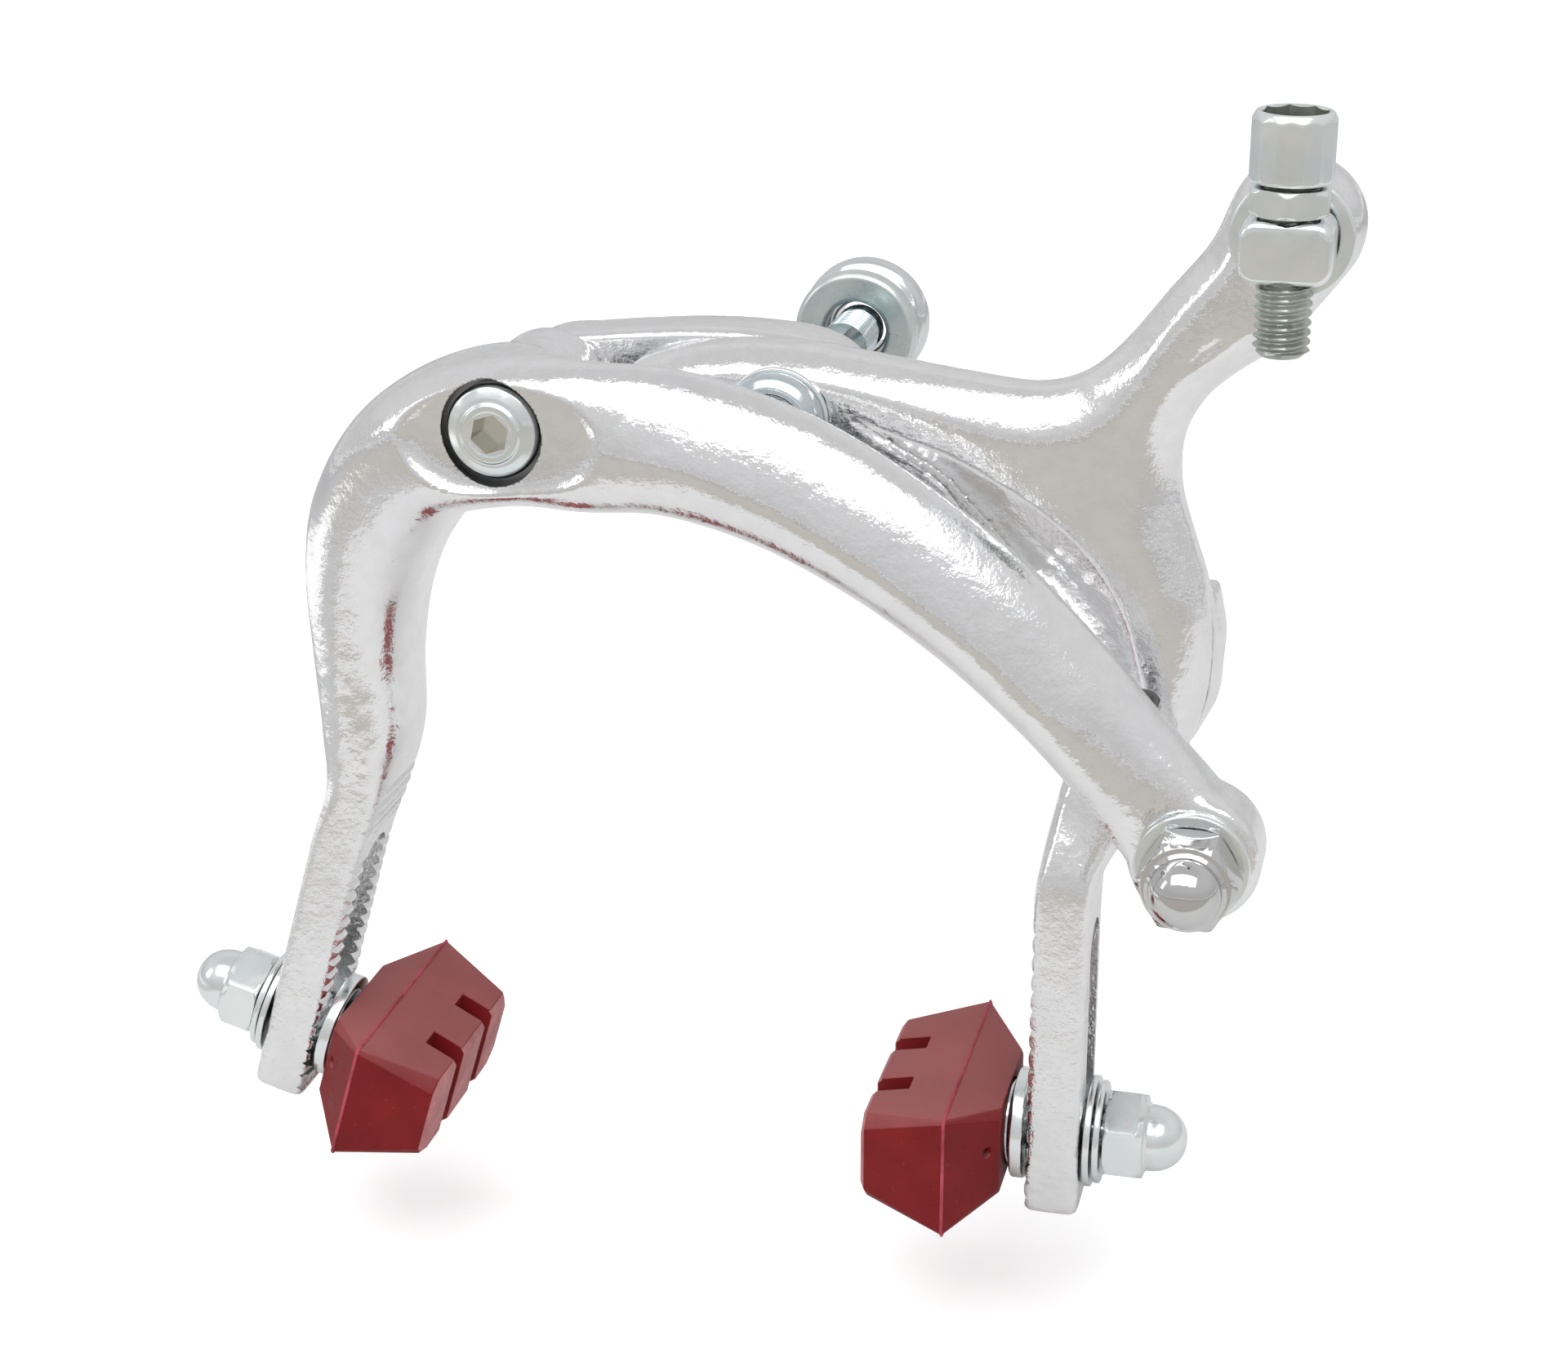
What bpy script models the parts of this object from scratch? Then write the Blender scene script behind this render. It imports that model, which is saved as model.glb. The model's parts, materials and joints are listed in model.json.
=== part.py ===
"""Long-reach dual-pivot rim brake caliper for a small-wheel bicycle, as separate pieces.

Run it with: blender --background --python part.py
Metres, +Z up, +X to the right as seen from the front, +Y towards the fork crown that the
caliper bolts to. The origin is on the centre bolt's axis, at the rear bracket's seat face.
All dimensions below are in millimetres.
"""

import math

import bmesh
import bpy
from mathutils import Matrix, Vector

MM = 0.001
GAP = 0.3

# Centre bolt and the stack on it
BOLT_D = 6.0
BOLT_HEAD_D = 11.2
BOLT_HEAD_FRONT = -21.3
BOLT_HEAD_BACK = -18.4
BOLT_END = 26.0
BRACKET_FRONT = -7.0
BRACKET_END_R = 6.8
BRACKET_PIVOT_R = 5.4
SEAT_WASHER_D = 11.6
CROWN_WASHER_Y = 21.8
CROWN_WASHER_D = 15.4
CROWN_NUT_D = 16.0

# Left pivot, on which the front arm turns
PIVOT_X = -29.5
PIVOT_Z = -0.3
PIVOT_HEAD_D = 11.0
PIVOT_SEAT_D = 12.6
DISH_FLOOR = -30.9
PIVOT_HEAD_FRONT = -30.7
PIVOT_HEAD_BACK = -27.8
PIVOT_BOSS_R = 7.2
BUSH_OD = 8.0
BUSH_ID = 6.6

# Front arm
BEAM_BACK = -22.7
ARM_BACK = -8.2
ANCHOR_X = 50.2
ANCHOR_Z = -43.2
ANCHOR_EYE_R = 7.4
ANCHOR_EYE_FRONT = -31.4

# Rear arm
REAR_FRONT = -17.0
REAR_BACK = -8.2
STOP_X = 55.7
STOP_Z = 23.6
STOP_EYE_R = 7.4
CENTRING_X = 42.6
CENTRING_Z = -30.6

# Legs, slots and pads
LEG_FRONT = -22.4
LEG_BACK = -9.2
LEG_Y = -15.8
LEG_THICK = 6.7
SLOT_W = 6.6
SLOT_ABOVE = 28.0
SLOT_BELOW = 4.4
LEFT_LEAN = math.radians(16.0)
LEFT_STUD = (-62.2, -83.4)
RIGHT_STUD = (34.65, -86.6)
STUD_D = 6.0
WASHER_D = 13.4
NUT_AF = 10.0
PAD_BACK = 5.95
PAD_PARTING = 11.4
PAD_FACE = 21.8
PAD_LENGTH = 31.6
PAD_HEIGHT = 15.5
PAD_FACE_LENGTH = 26.6
PAD_FACE_HEIGHT = 11.0
PAD_BACK_LENGTH = 17.0
PAD_BACK_HEIGHT = 11.5
PAD_SLOT_W = 2.8
PAD_SLOT_DEPTH = 4.0

# Cable stop
BARREL_Y = -24.8
BARREL_D = 8.8
CUP_LOW = 30.7
CUP_HIGH = 38.1
CUP_BORE_R = 3.1
BLOCK_LOW = 20.6
BLOCK_HIGH = 27.2
BLOCK_W = 9.7
BLOCK_FRONT = -28.2
BLOCK_BACK = -20.4
THREAD_LOW = 12.7
LOCK_NUT_AF = 8.0
CABLE_R = 1.2

# Return spring
WIRE_D = 2.0
WIRE_Y = -4.0
WIRE_END_Y = -5.8
HOLDER_X = -14.0
HOLDER_Z = -8.7


def clear_scene():
    for old in list(bpy.data.objects):
        bpy.data.objects.remove(old, do_unlink=True)


def material(name, colour, roughness, metallic):
    made = bpy.data.materials.new(name)
    made.use_nodes = True
    shader = made.node_tree.nodes["Principled BSDF"]
    shader.inputs["Base Color"].default_value = (*colour, 1.0)
    shader.inputs["Roughness"].default_value = roughness
    shader.inputs["Metallic"].default_value = metallic
    return made


def link(name, mesh, look=None, parent=None):
    made = bpy.data.objects.new(name, mesh)
    bpy.context.scene.collection.objects.link(made)
    if look:
        mesh.materials.append(look)
    if parent:
        made.parent = parent
    return made


def empty(name, location, rotation_y=0.0, parent=None):
    """An empty at a point in millimetres, turned about the Y axis."""
    made = bpy.data.objects.new(name, None)
    bpy.context.scene.collection.objects.link(made)
    made.location = Vector(location) * MM
    made.rotation_euler = (0.0, rotation_y, 0.0)
    made.parent = parent
    return made


def finish_mesh(name, build, sharp=35.0):
    """The bmesh as a mesh in metres, with its faces pointing out and round parts smooth."""
    bmesh.ops.recalc_face_normals(build, faces=build.faces)
    bmesh.ops.scale(build, vec=(MM, MM, MM), verts=build.verts)
    mesh = bpy.data.meshes.new(name)
    build.to_mesh(mesh)
    build.free()
    mesh.shade_smooth()
    mesh.set_sharp_from_angle(angle=math.radians(sharp))
    return mesh


def flat_limited(radius, angle, across_flats):
    """The radius at an angle, cut back to a hexagon's flats when there are any."""
    if not across_flats:
        return radius
    off_flat = (angle + math.pi / 6.0) % (math.pi / 3.0) - math.pi / 6.0
    return min(radius, 0.5 * across_flats / math.cos(off_flat))


def turned_mesh(name, profile, sides=24, across_flats=0.0):
    """A turned piece about Z, hexagonal where its radius passes across_flats / 2.

    profile is (radius, height) points round its half section.
    """
    build = bmesh.new()
    rings = []
    for radius, height in profile:
        if radius < 1e-6:
            rings.append([build.verts.new((0.0, 0.0, height))])
            continue
        ring = []
        for k in range(sides):
            angle = 2.0 * math.pi * k / sides
            reach = flat_limited(radius, angle, across_flats)
            ring.append(build.verts.new((reach * math.cos(angle), reach * math.sin(angle), height)))
        rings.append(ring)
    solid_core = len(rings[0]) == 1
    pairs = list(zip(rings, rings[1:]))
    if not solid_core:
        pairs.append((rings[-1], rings[0]))
    for low, high in pairs:
        for k in range(sides):
            j = (k + 1) % sides
            corners = [low[k % len(low)], low[j % len(low)], high[j % len(high)], high[k % len(high)]]
            unique = list(dict.fromkeys(corners))
            if len(unique) > 2:
                build.faces.new(unique)
    return finish_mesh(name, build)


def prism_mesh(name, outline, low, high, rim=0.0):
    """An outline of (u, v) points extruded along Z, with its two rims rounded by rim."""
    build = bmesh.new()
    base = build.faces.new([build.verts.new((u, v, low)) for u, v in outline])
    lifted = bmesh.ops.extrude_face_region(build, geom=[base])
    top = [g for g in lifted["geom"] if isinstance(g, bmesh.types.BMVert)]
    bmesh.ops.translate(build, vec=(0.0, 0.0, high - low), verts=top)
    if rim:
        rims = [e for e in build.edges if abs(e.verts[0].co.z - e.verts[1].co.z) < 1e-6]
        bmesh.ops.bevel(build, geom=rims, offset=rim, segments=2, profile=0.5, affect="EDGES")
    return finish_mesh(name, build)


def loft_mesh(name, rings):
    """A closed skin over rings of equally many points, with flat ends."""
    build = bmesh.new()
    made = [[build.verts.new(p) for p in ring] for ring in rings]
    count = len(made[0])
    for near, far in zip(made, made[1:]):
        for k in range(count):
            j = (k + 1) % count
            build.faces.new((near[k], near[j], far[j], far[k]))
    build.faces.new(made[0][::-1])
    build.faces.new(made[-1])
    return finish_mesh(name, build)


def smooth_path(points, steps):
    """Points on a Catmull-Rom curve through the given tuples of numbers, ends included."""
    spread = [points[0], *points, points[-1]]
    path = []
    for k in range(1, len(spread) - 2):
        before, here, after, beyond = spread[k - 1 : k + 3]
        for s in range(steps):
            t = s / steps
            path.append(
                tuple(
                    0.5
                    * (
                        2 * b
                        + (c - a) * t
                        + (2 * a - 5 * b + 4 * c - d) * t * t
                        + (3 * b - a - 3 * c + d) * t ** 3
                    )
                    for a, b, c, d in zip(before, here, after, beyond)
                )
            )
    path.append(points[-1])
    return path


def smooth_ring(points, steps):
    """Points on a closed Catmull-Rom curve through the given points."""
    count = len(points)
    wrapped = [points[k % count] for k in range(-2, count + 2)]
    return smooth_path(wrapped, steps)[2 * steps : (count + 2) * steps]


def arc(centre, radius, start, end, count):
    """Points on an arc, from start to end in degrees, both included."""
    turns = [math.radians(start + (end - start) * k / (count - 1)) for k in range(count)]
    return [(centre[0] + radius * math.cos(t), centre[1] + radius * math.sin(t)) for t in turns]


def round_section(half, front, back, front_power, back_power, count=24):
    """A section of a forged arm: (across, y) points, squarer as the power rises."""
    middle = 0.5 * (front + back)
    depth = 0.5 * (back - front)
    points = []
    for k in range(count):
        turn = 2.0 * math.pi * (k + 0.5) / count
        power = back_power if math.sin(turn) > 0 else front_power
        across = math.copysign(abs(math.cos(turn)) ** (2.0 / power), math.cos(turn))
        along = math.copysign(abs(math.sin(turn)) ** (2.0 / power), math.sin(turn))
        points.append((half * across, middle + depth * along))
    return points


def swept_rings(stations, steps):
    """Sections set square to a path in the XZ plane.

    A station is (x, z, half width, front y, back y, front power, back power).
    """
    path = smooth_path(stations, steps)
    rings = []
    for k, station in enumerate(path):
        before = path[max(k - 1, 0)]
        after = path[min(k + 1, len(path) - 1)]
        along = Vector((after[0] - before[0], after[1] - before[1])).normalized()
        side = Vector((along.y, -along.x))
        x, z, half, front, back, front_power, back_power = station
        section = round_section(half, front, back, front_power, back_power)
        rings.append([(x + a * side.x, y, z + a * side.y) for a, y in section])
    return rings


FACE_BACK = Matrix(((1, 0, 0), (0, 0, 1), (0, 1, 0))).to_4x4()


def along_y(mesh, x=0.0, z=0.0):
    """Turns a mesh made about Z so that its Z runs along +Y and its Y along +Z."""
    mesh.transform(Matrix.Translation(Vector((x, 0.0, z)) * MM) @ FACE_BACK)
    mesh.flip_normals()
    return mesh


def modified(target, cutter, operation="DIFFERENCE"):
    """Adds a Boolean with a hidden helper object."""
    cutter.hide_render = True
    cutter.display_type = "WIRE"
    step = target.modifiers.new(cutter.name, "BOOLEAN")
    step.operation = operation
    step.solver = "EXACT"
    step.object = cutter


def disc(radius, low, high, chamfer=0.0):
    """The half section of a solid disc, for turned_mesh."""
    return [
        (0.0, low),
        (radius - chamfer, low),
        (radius, low + chamfer),
        (radius, high - chamfer),
        (radius - chamfer, high),
        (0.0, high),
    ] if chamfer else [(0.0, low), (radius, low), (radius, high), (0.0, high)]


def ring_section(inner, outer, low, high, chamfer=0.0):
    """The half section of a washer, bush or sleeve, for turned_mesh."""
    if not chamfer:
        return [(inner, low), (outer, low), (outer, high), (inner, high)]
    return [
        (inner, low),
        (outer - chamfer, low),
        (outer, low + chamfer),
        (outer, high - chamfer),
        (outer - chamfer, high),
        (inner, high),
    ]


def hexagon(across_flats, turn=0.0):
    radius = across_flats / math.sqrt(3.0)
    return [
        (radius * math.cos(turn + k * math.pi / 3.0), radius * math.sin(turn + k * math.pi / 3.0))
        for k in range(6)
    ]


def helper(name, mesh, parent=None):
    return link(name, mesh, None, parent)


def socket_cutter(name, across_flats, front, depth, x, z):
    mesh = prism_mesh(name, hexagon(across_flats), front - 1.0, front + depth)
    return helper(name, along_y(mesh, x, z))


def build_centre_bolt(look):
    """The bolt that carries the caliper: a domed head in front, the thread to the rear."""
    head_r = 0.5 * BOLT_HEAD_D
    shank_r = 0.5 * BOLT_D
    profile = [
        (0.0, BOLT_HEAD_FRONT),
        (head_r - 2.2, BOLT_HEAD_FRONT),
        (head_r - 0.7, BOLT_HEAD_FRONT + 0.5),
        (head_r, BOLT_HEAD_FRONT + 1.4),
        (head_r, BOLT_HEAD_BACK),
        (shank_r, BOLT_HEAD_BACK),
        (shank_r, BOLT_END - 0.6),
        (shank_r - 0.6, BOLT_END),
        (0.0, BOLT_END),
    ]
    bolt = link("centre_bolt", along_y(turned_mesh("centre_bolt", profile)), look)
    modified(bolt, socket_cutter("centre_bolt_socket", 5.0, BOLT_HEAD_FRONT, 2.0, 0.0, 0.0))


def washer(name, look, inner, outer, low, high, x=0.0, z=0.0):
    section = ring_section(0.5 * inner, 0.5 * outer, low, high)
    return link(name, along_y(turned_mesh(name, section), x, z), look)


def build_centre_stack(zinc, steel, nylon):
    """Washers on the centre bolt, and the washer and nut that close on the fork crown."""
    washer("front_thrust_washer", steel, 6.8, 11.8, -18.1, -17.3)
    washer("bracket_thrust_washer", nylon, 8.6, 11.2, -7.9, -7.3)
    washer("seat_washer", zinc, 6.8, SEAT_WASHER_D, 0.3, 1.5)
    outer = 0.5 * CROWN_WASHER_D
    front = CROWN_WASHER_Y
    dished = [
        (3.9, front + 1.1),
        (4.5, front + 0.6),
        (5.4, front + 0.6),
        (5.9, front),
        (outer - 0.6, front),
        (outer, front + 0.6),
        (outer, front + 2.2),
        (outer - 0.8, front + 2.8),
        (3.9, front + 2.8),
    ]
    link("crown_washer", along_y(turned_mesh("crown_washer", dished, 32)), zinc)
    flange = 0.5 * CROWN_NUT_D
    back = front + 2.8 + GAP
    nut = [
        (3.3, back),
        (flange - 1.4, back),
        (flange - 1.4, back + 1.6),
        (flange, back + 2.4),
        (flange, back + 5.0),
        (flange - 0.9, back + 6.0),
        (3.3, back + 6.0),
    ]
    link("crown_nut", along_y(turned_mesh("crown_nut", nut, 32)), steel)


def build_bracket(look):
    """The plate behind the arms that holds the left pivot at a fixed distance."""
    length = math.hypot(PIVOT_X, PIVOT_Z)
    lean = math.degrees(math.atan2(PIVOT_Z, PIVOT_X))
    half = math.degrees(math.asin((BRACKET_PIVOT_R - BRACKET_END_R) / length))
    outline = arc((0.0, 0.0), BRACKET_END_R, lean - 270.0 + half, lean - 90.0 - half, 11)
    outline += arc((PIVOT_X, PIVOT_Z), BRACKET_PIVOT_R, lean - 90.0 - half, lean + 90.0 + half, 11)
    plate = prism_mesh("rear_bracket", outline, BRACKET_FRONT, 0.0, rim=1.1)
    bracket = link("rear_bracket", along_y(plate), look)
    holes = (("bracket_bolt_hole", 0.0, 0.0), ("bracket_pivot_hole", PIVOT_X, PIVOT_Z))
    for name, x, z in holes:
        bore = turned_mesh(name, disc(0.5 * BOLT_D + GAP, BRACKET_FRONT - 5.0, 5.0))
        modified(bracket, helper(name, along_y(bore, x, z)))


def build_side_pivot(zinc, nylon):
    """The bolt that the front arm turns on, screwed into the bracket."""
    head_r = 0.5 * PIVOT_HEAD_D
    shank_r = 0.5 * BOLT_D
    profile = [
        (0.0, PIVOT_HEAD_FRONT + 0.3),
        (2.9, PIVOT_HEAD_FRONT + 0.3),
        (3.4, PIVOT_HEAD_FRONT),
        (4.2, PIVOT_HEAD_FRONT),
        (head_r - 0.4, PIVOT_HEAD_FRONT + 0.9),
        (head_r, PIVOT_HEAD_FRONT + 1.5),
        (head_r, PIVOT_HEAD_BACK),
        (shank_r, PIVOT_HEAD_BACK),
        (shank_r, -0.6),
        (0.0, -0.6),
    ]
    mesh = turned_mesh("side_pivot_bolt", profile)
    bolt = link("side_pivot_bolt", along_y(mesh, PIVOT_X, PIVOT_Z), zinc)
    socket = socket_cutter("side_pivot_socket", 4.6, PIVOT_HEAD_FRONT, 2.6, PIVOT_X, PIVOT_Z)
    modified(bolt, socket)
    washer("side_pivot_washer", nylon, 8.6, 12.0, -7.9, -7.3, PIVOT_X, PIVOT_Z)


def leg_slot_cutter(name, side_pivot):
    """A round-ended slot through a leg, wide along Y and long along the leg."""
    radius = 0.5 * SLOT_W
    outline = arc((SLOT_ABOVE - radius, 0.0), radius, -90, 90, 9)
    outline += arc((-SLOT_BELOW + radius, 0.0), radius, 90, 270, 9)
    mesh = prism_mesh(name, outline, -8.0, 8.0)
    mesh.transform(Matrix.Rotation(math.radians(-90.0), 4, "Y"))
    return helper(name, mesh, side_pivot)


def leg_point(stud, lean, up):
    """A point on the leg's middle line, up above the pad stud."""
    return stud[0] + math.sin(lean) * up, stud[1] + math.cos(lean) * up


def leg_end(stud, lean, half):
    """Stations that close the foot of a leg with a small round."""
    stations = []
    for up, shrink in ((-8.7, 1.6), (-8.1, 0.5), (-6.8, 0.0)):
        x, z = leg_point(stud, lean, up)
        stations.append(
            (x, z, half - 0.5 * shrink, LEG_FRONT + shrink, LEG_BACK - shrink, 6.0, 7.0)
        )
    return stations


def elbow_dish_outline():
    """The eye-shaped flat round the left pivot, about the pivot's axis."""
    upper = [(-8.9, 0.8), (-4.6, 5.8), (2.6, 7.6), (8.6, 6.6), (13.3, 3.6)]
    lower = [(14.4, 0.4), (12.6, -3.7), (7.6, -6.2), (1.4, -7.1), (-4.4, -7.1), (-8.0, -4.2)]
    return smooth_ring(upper + lower, 3)


def build_front_arm(aluminium, bronze, nylon, stud_frame):
    """The C arm: left leg, elbow with the left pivot, beam and cable anchor eye."""
    half = 0.5 * LEG_THICK
    low = leg_point(LEFT_STUD, LEFT_LEAN, 12.0)
    high = leg_point(LEFT_STUD, LEFT_LEAN, 27.0)
    leg = [
        (*low, half, LEG_FRONT, LEG_BACK, 6.0, 7.0),
        (*high, half, LEG_FRONT, LEG_BACK, 6.0, 7.0),
        (-52.3, -50.6, 3.8, -22.7, -9.1, 4.5, 6.0),
        (-51.2, -42.5, 5.3, -23.2, -9.0, 3.0, 4.5),
        (-51.3, -32.8, 5.9, -24.0, -8.8, 2.6, 4.0),
        (-50.4, -22.8, 6.9, -25.4, -8.6, 2.6, 4.0),
    ]
    elbow = [
        (-47.4, -13.8, 7.9, -27.4, -8.4, 2.7, 4.0),
        (-40.9, -5.5, 8.4, -30.0, ARM_BACK, 2.8, 3.4),
        (-31.0, -1.6, 8.7, -32.0, -12.0, 2.8, 5.0),
        (-20.7, -1.0, 8.6, -32.8, BEAM_BACK, 2.3, 5.0),
    ]
    beam = [
        (-9.5, -1.2, 8.3, -33.2, BEAM_BACK, 1.9, 5.0),
        (3.0, -4.4, 7.9, -33.4, BEAM_BACK, 1.8, 5.0),
        (14.9, -10.4, 7.5, -33.4, BEAM_BACK, 1.8, 5.0),
        (25.2, -17.7, 7.2, -33.2, BEAM_BACK, 1.8, 5.0),
        (34.2, -25.4, 6.7, -32.8, BEAM_BACK, 1.9, 5.0),
        (41.2, -33.0, 6.4, -32.2, BEAM_BACK, 2.3, 5.0),
        (46.4, -39.0, 6.6, -31.5, BEAM_BACK, 3.2, 5.0),
        (49.8, -42.7, 6.2, -31.3, BEAM_BACK, 4.0, 5.0),
    ]
    stations = leg_end(LEFT_STUD, LEFT_LEAN, half) + leg + elbow + beam
    skin = loft_mesh("front_arm", swept_rings(stations, 2))
    arm = link("front_arm", skin, aluminium)
    boss = turned_mesh("arm_boss", disc(PIVOT_BOSS_R, ARM_BACK, -26.0))
    modified(arm, helper("arm_boss", along_y(boss, PIVOT_X, PIVOT_Z)), "UNION")
    eye = turned_mesh("anchor_eye", disc(ANCHOR_EYE_R, ANCHOR_EYE_FRONT, BEAM_BACK + 0.03))
    modified(arm, helper("anchor_eye", along_y(eye, ANCHOR_X, ANCHOR_Z)), "UNION")
    lug_outline = [(-56.6, -29.0), (-53.6, -29.0), (-53.6, -21.0), (-56.2, -21.0)]
    lug = prism_mesh("left_spring_lug", lug_outline, -13.0, -4.2)
    modified(arm, helper("left_spring_lug", along_y(lug)), "UNION")
    recess = prism_mesh("elbow_dish", elbow_dish_outline(), -40.0, DISH_FLOOR)
    modified(arm, helper("elbow_dish", along_y(recess, PIVOT_X, PIVOT_Z)))
    seat = disc(0.5 * PIVOT_SEAT_D, -40.0, PIVOT_HEAD_BACK + GAP)
    modified(arm, helper("pivot_seat", along_y(turned_mesh("pivot_seat", seat), PIVOT_X, PIVOT_Z)))
    bore = turned_mesh("pivot_bore", disc(0.5 * BUSH_OD + GAP, -40.0, 5.0))
    modified(arm, helper("pivot_bore", along_y(bore, PIVOT_X, PIVOT_Z)))
    hole = turned_mesh("anchor_hole", disc(0.5 * BOLT_D + GAP, -40.0, -10.0))
    modified(arm, helper("anchor_hole", along_y(hole, ANCHOR_X, ANCHOR_Z)))
    modified(arm, leg_slot_cutter("left_slot", stud_frame))
    section = ring_section(0.5 * BUSH_ID, 0.5 * BUSH_OD, PIVOT_HEAD_BACK + 2.0 * GAP, ARM_BACK)
    bush = along_y(turned_mesh("front_arm_bush", section), PIVOT_X, PIVOT_Z)
    link("front_arm_bush", bush, bronze)
    cap = [(-53.3, -28.4), (-52.1, -27.6), (-52.1, -22.4), (-53.3, -21.6)]
    link("left_spring_slider", along_y(prism_mesh("left_spring_slider", cap, -7.4, -4.4)), nylon)


def rear_outline():
    """The rear arm's outline down to where its leg begins, as (x, z) points."""
    top = [(-19.0, 2.6), (-15.7, 5.2), (-7.2, 7.0), (1.3, 7.2), (7.3, 6.6), (13.8, 5.7)]
    crotch = [(20.8, 4.8), (28.3, 4.2), (33.6, 5.8), (37.8, 9.6), (42.4, 15.6), (46.6, 21.0)]
    eye = arc((STOP_X, STOP_Z), STOP_EYE_R, 160.0, -35.0, 13)
    right = [(57.8, 14.0), (54.4, 10.2), (50.8, 7.6), (47.2, 4.2), (44.9, -0.8), (44.9, -6.6)]
    side = [(46.7, -12.6), (48.5, -18.0), (49.3, -25.0), (48.8, -32.0), (46.6, -38.6)]
    foot = [(42.8, -43.8), (38.6, -45.3), (35.4, -42.3), (35.2, -35.0), (32.2, -26.0)]
    under = [(27.2, -18.6), (19.8, -13.0), (9.8, -9.8), (-0.2, -8.8), (-8.2, -6.4), (-15.7, -2.6)]
    return smooth_ring(top + crotch + eye + right + side + foot + under, 2)


def build_rear_arm(aluminium, bronze, nylon, steel, stud_frame):
    """The Y arm: cable stop eye, centre boss, right leg."""
    body = prism_mesh("rear_arm", rear_outline(), REAR_FRONT, REAR_BACK, rim=1.6)
    arm = link("rear_arm", along_y(body), aluminium)
    half = 0.5 * LEG_THICK
    leg_x, stud_z = RIGHT_STUD
    stations = leg_end(RIGHT_STUD, 0.0, half) + [
        (leg_x, stud_z + 12.0, half, LEG_FRONT, LEG_BACK, 6.0, 7.0),
        (leg_x, stud_z + 30.0, half, LEG_FRONT, LEG_BACK, 6.0, 7.0),
        (leg_x + 0.6, -50.8, half + 0.3, -21.8, -9.1, 4.5, 6.0),
        (leg_x + 2.8, -44.6, 4.8, -18.6, REAR_BACK, 4.0, 6.0),
        (leg_x + 5.6, -38.0, 6.3, REAR_FRONT + 0.1, REAR_BACK - 0.1, 4.0, 6.0),
        (leg_x + 6.4, -30.0, 6.6, REAR_FRONT + 0.4, REAR_BACK - 0.3, 4.0, 6.0),
    ]
    modified(arm, helper("rear_leg", loft_mesh("rear_leg", swept_rings(stations, 2))), "UNION")
    lug_outline = [(44.2, -19.6), (49.2, -19.2), (50.4, -24.8), (50.0, -32.4), (47.4, -37.8), (44.2, -35.0)]
    lug = prism_mesh("right_spring_lug", lug_outline, REAR_BACK - 1.5, -4.2)
    modified(arm, helper("right_spring_lug", along_y(lug)), "UNION")
    bore = turned_mesh("rear_bore", disc(0.5 * BUSH_OD + GAP, -40.0, 5.0))
    modified(arm, helper("rear_bore", along_y(bore)))
    hole = turned_mesh("stop_hole", disc(0.5 * STUD_D + GAP, -40.0, 5.0))
    modified(arm, helper("stop_hole", along_y(hole, STOP_X, STOP_Z)))
    tapped = turned_mesh("centring_hole", disc(1.5 + GAP, -40.0, 5.0), 16)
    modified(arm, helper("centring_hole", along_y(tapped, CENTRING_X, CENTRING_Z)))
    modified(arm, leg_slot_cutter("right_slot", stud_frame))
    section = ring_section(0.5 * BUSH_ID, 0.5 * BUSH_OD, REAR_FRONT, REAR_BACK)
    link("rear_arm_bush", along_y(turned_mesh("rear_arm_bush", section)), bronze)
    cap = [(43.9, -28.4), (43.9, -21.6), (42.7, -22.4), (42.7, -27.6)]
    link("right_spring_slider", along_y(prism_mesh("right_spring_slider", cap, -7.4, -4.4)), nylon)
    grub = turned_mesh("centring_screw", disc(1.5, REAR_FRONT + 0.4, REAR_BACK - 0.6), 16)
    link("centring_screw", along_y(grub, CENTRING_X, CENTRING_Z), steel)


def acorn_profile(low, hexagon_high, tip, depth):
    """The half section of a domed nut: hexagon, collar, dome, and a blind bore from below."""
    corner = NUT_AF / math.sqrt(3.0)
    dome_r = 4.4
    height = tip - hexagon_high
    profile = [
        (0.5 * STUD_D + GAP, low),
        (0.5 * NUT_AF, low),
        (corner, low + 0.5),
        (corner, hexagon_high - 0.6),
        (0.5 * NUT_AF - 0.1, hexagon_high),
        (dome_r, hexagon_high),
    ]
    for k in range(1, 6):
        turn = 0.5 * math.pi * k / 6.0
        profile.append((dome_r * math.cos(turn), hexagon_high + height * math.sin(turn)))
    profile += [(0.0, tip), (0.0, low + depth), (0.5 * STUD_D + GAP, low + depth)]
    return profile


def build_anchor(steel, chrome):
    """The cable anchor: a bolt through the arm's eye, a washer and a domed nut."""
    head = turned_mesh(
        "anchor_bolt",
        [
            (0.0, BEAM_BACK + 2.8),
            (4.4, BEAM_BACK + 2.8),
            (4.8, BEAM_BACK + 2.4),
            (4.8, BEAM_BACK + GAP),
            (0.5 * BOLT_D, BEAM_BACK + GAP),
            (0.5 * BOLT_D, -38.0),
            (0.0, -38.0),
        ],
    )
    link("anchor_bolt", along_y(head, ANCHOR_X, ANCHOR_Z), steel)
    front = ANCHOR_EYE_FRONT - GAP
    washer("anchor_washer", steel, 6.8, 12.8, front - 1.2, front, ANCHOR_X, ANCHOR_Z)
    low = -(front - 1.2 - GAP)
    mesh = turned_mesh("anchor_nut", acorn_profile(low, low + 5.0, low + 9.4, 6.0), 24, NUT_AF)
    mesh.transform(Matrix.Rotation(math.radians(90.0), 4, "X"))
    mesh.transform(Matrix.Translation(Vector((ANCHOR_X, 0.0, ANCHOR_Z)) * MM))
    link("anchor_nut", mesh, chrome)


def along_x(mesh, towards):
    """Turns a mesh made about Z so that its Z runs along +X or -X."""
    mesh.transform(Matrix.Rotation(math.radians(90.0 * towards), 4, "Y"))
    return mesh


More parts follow.
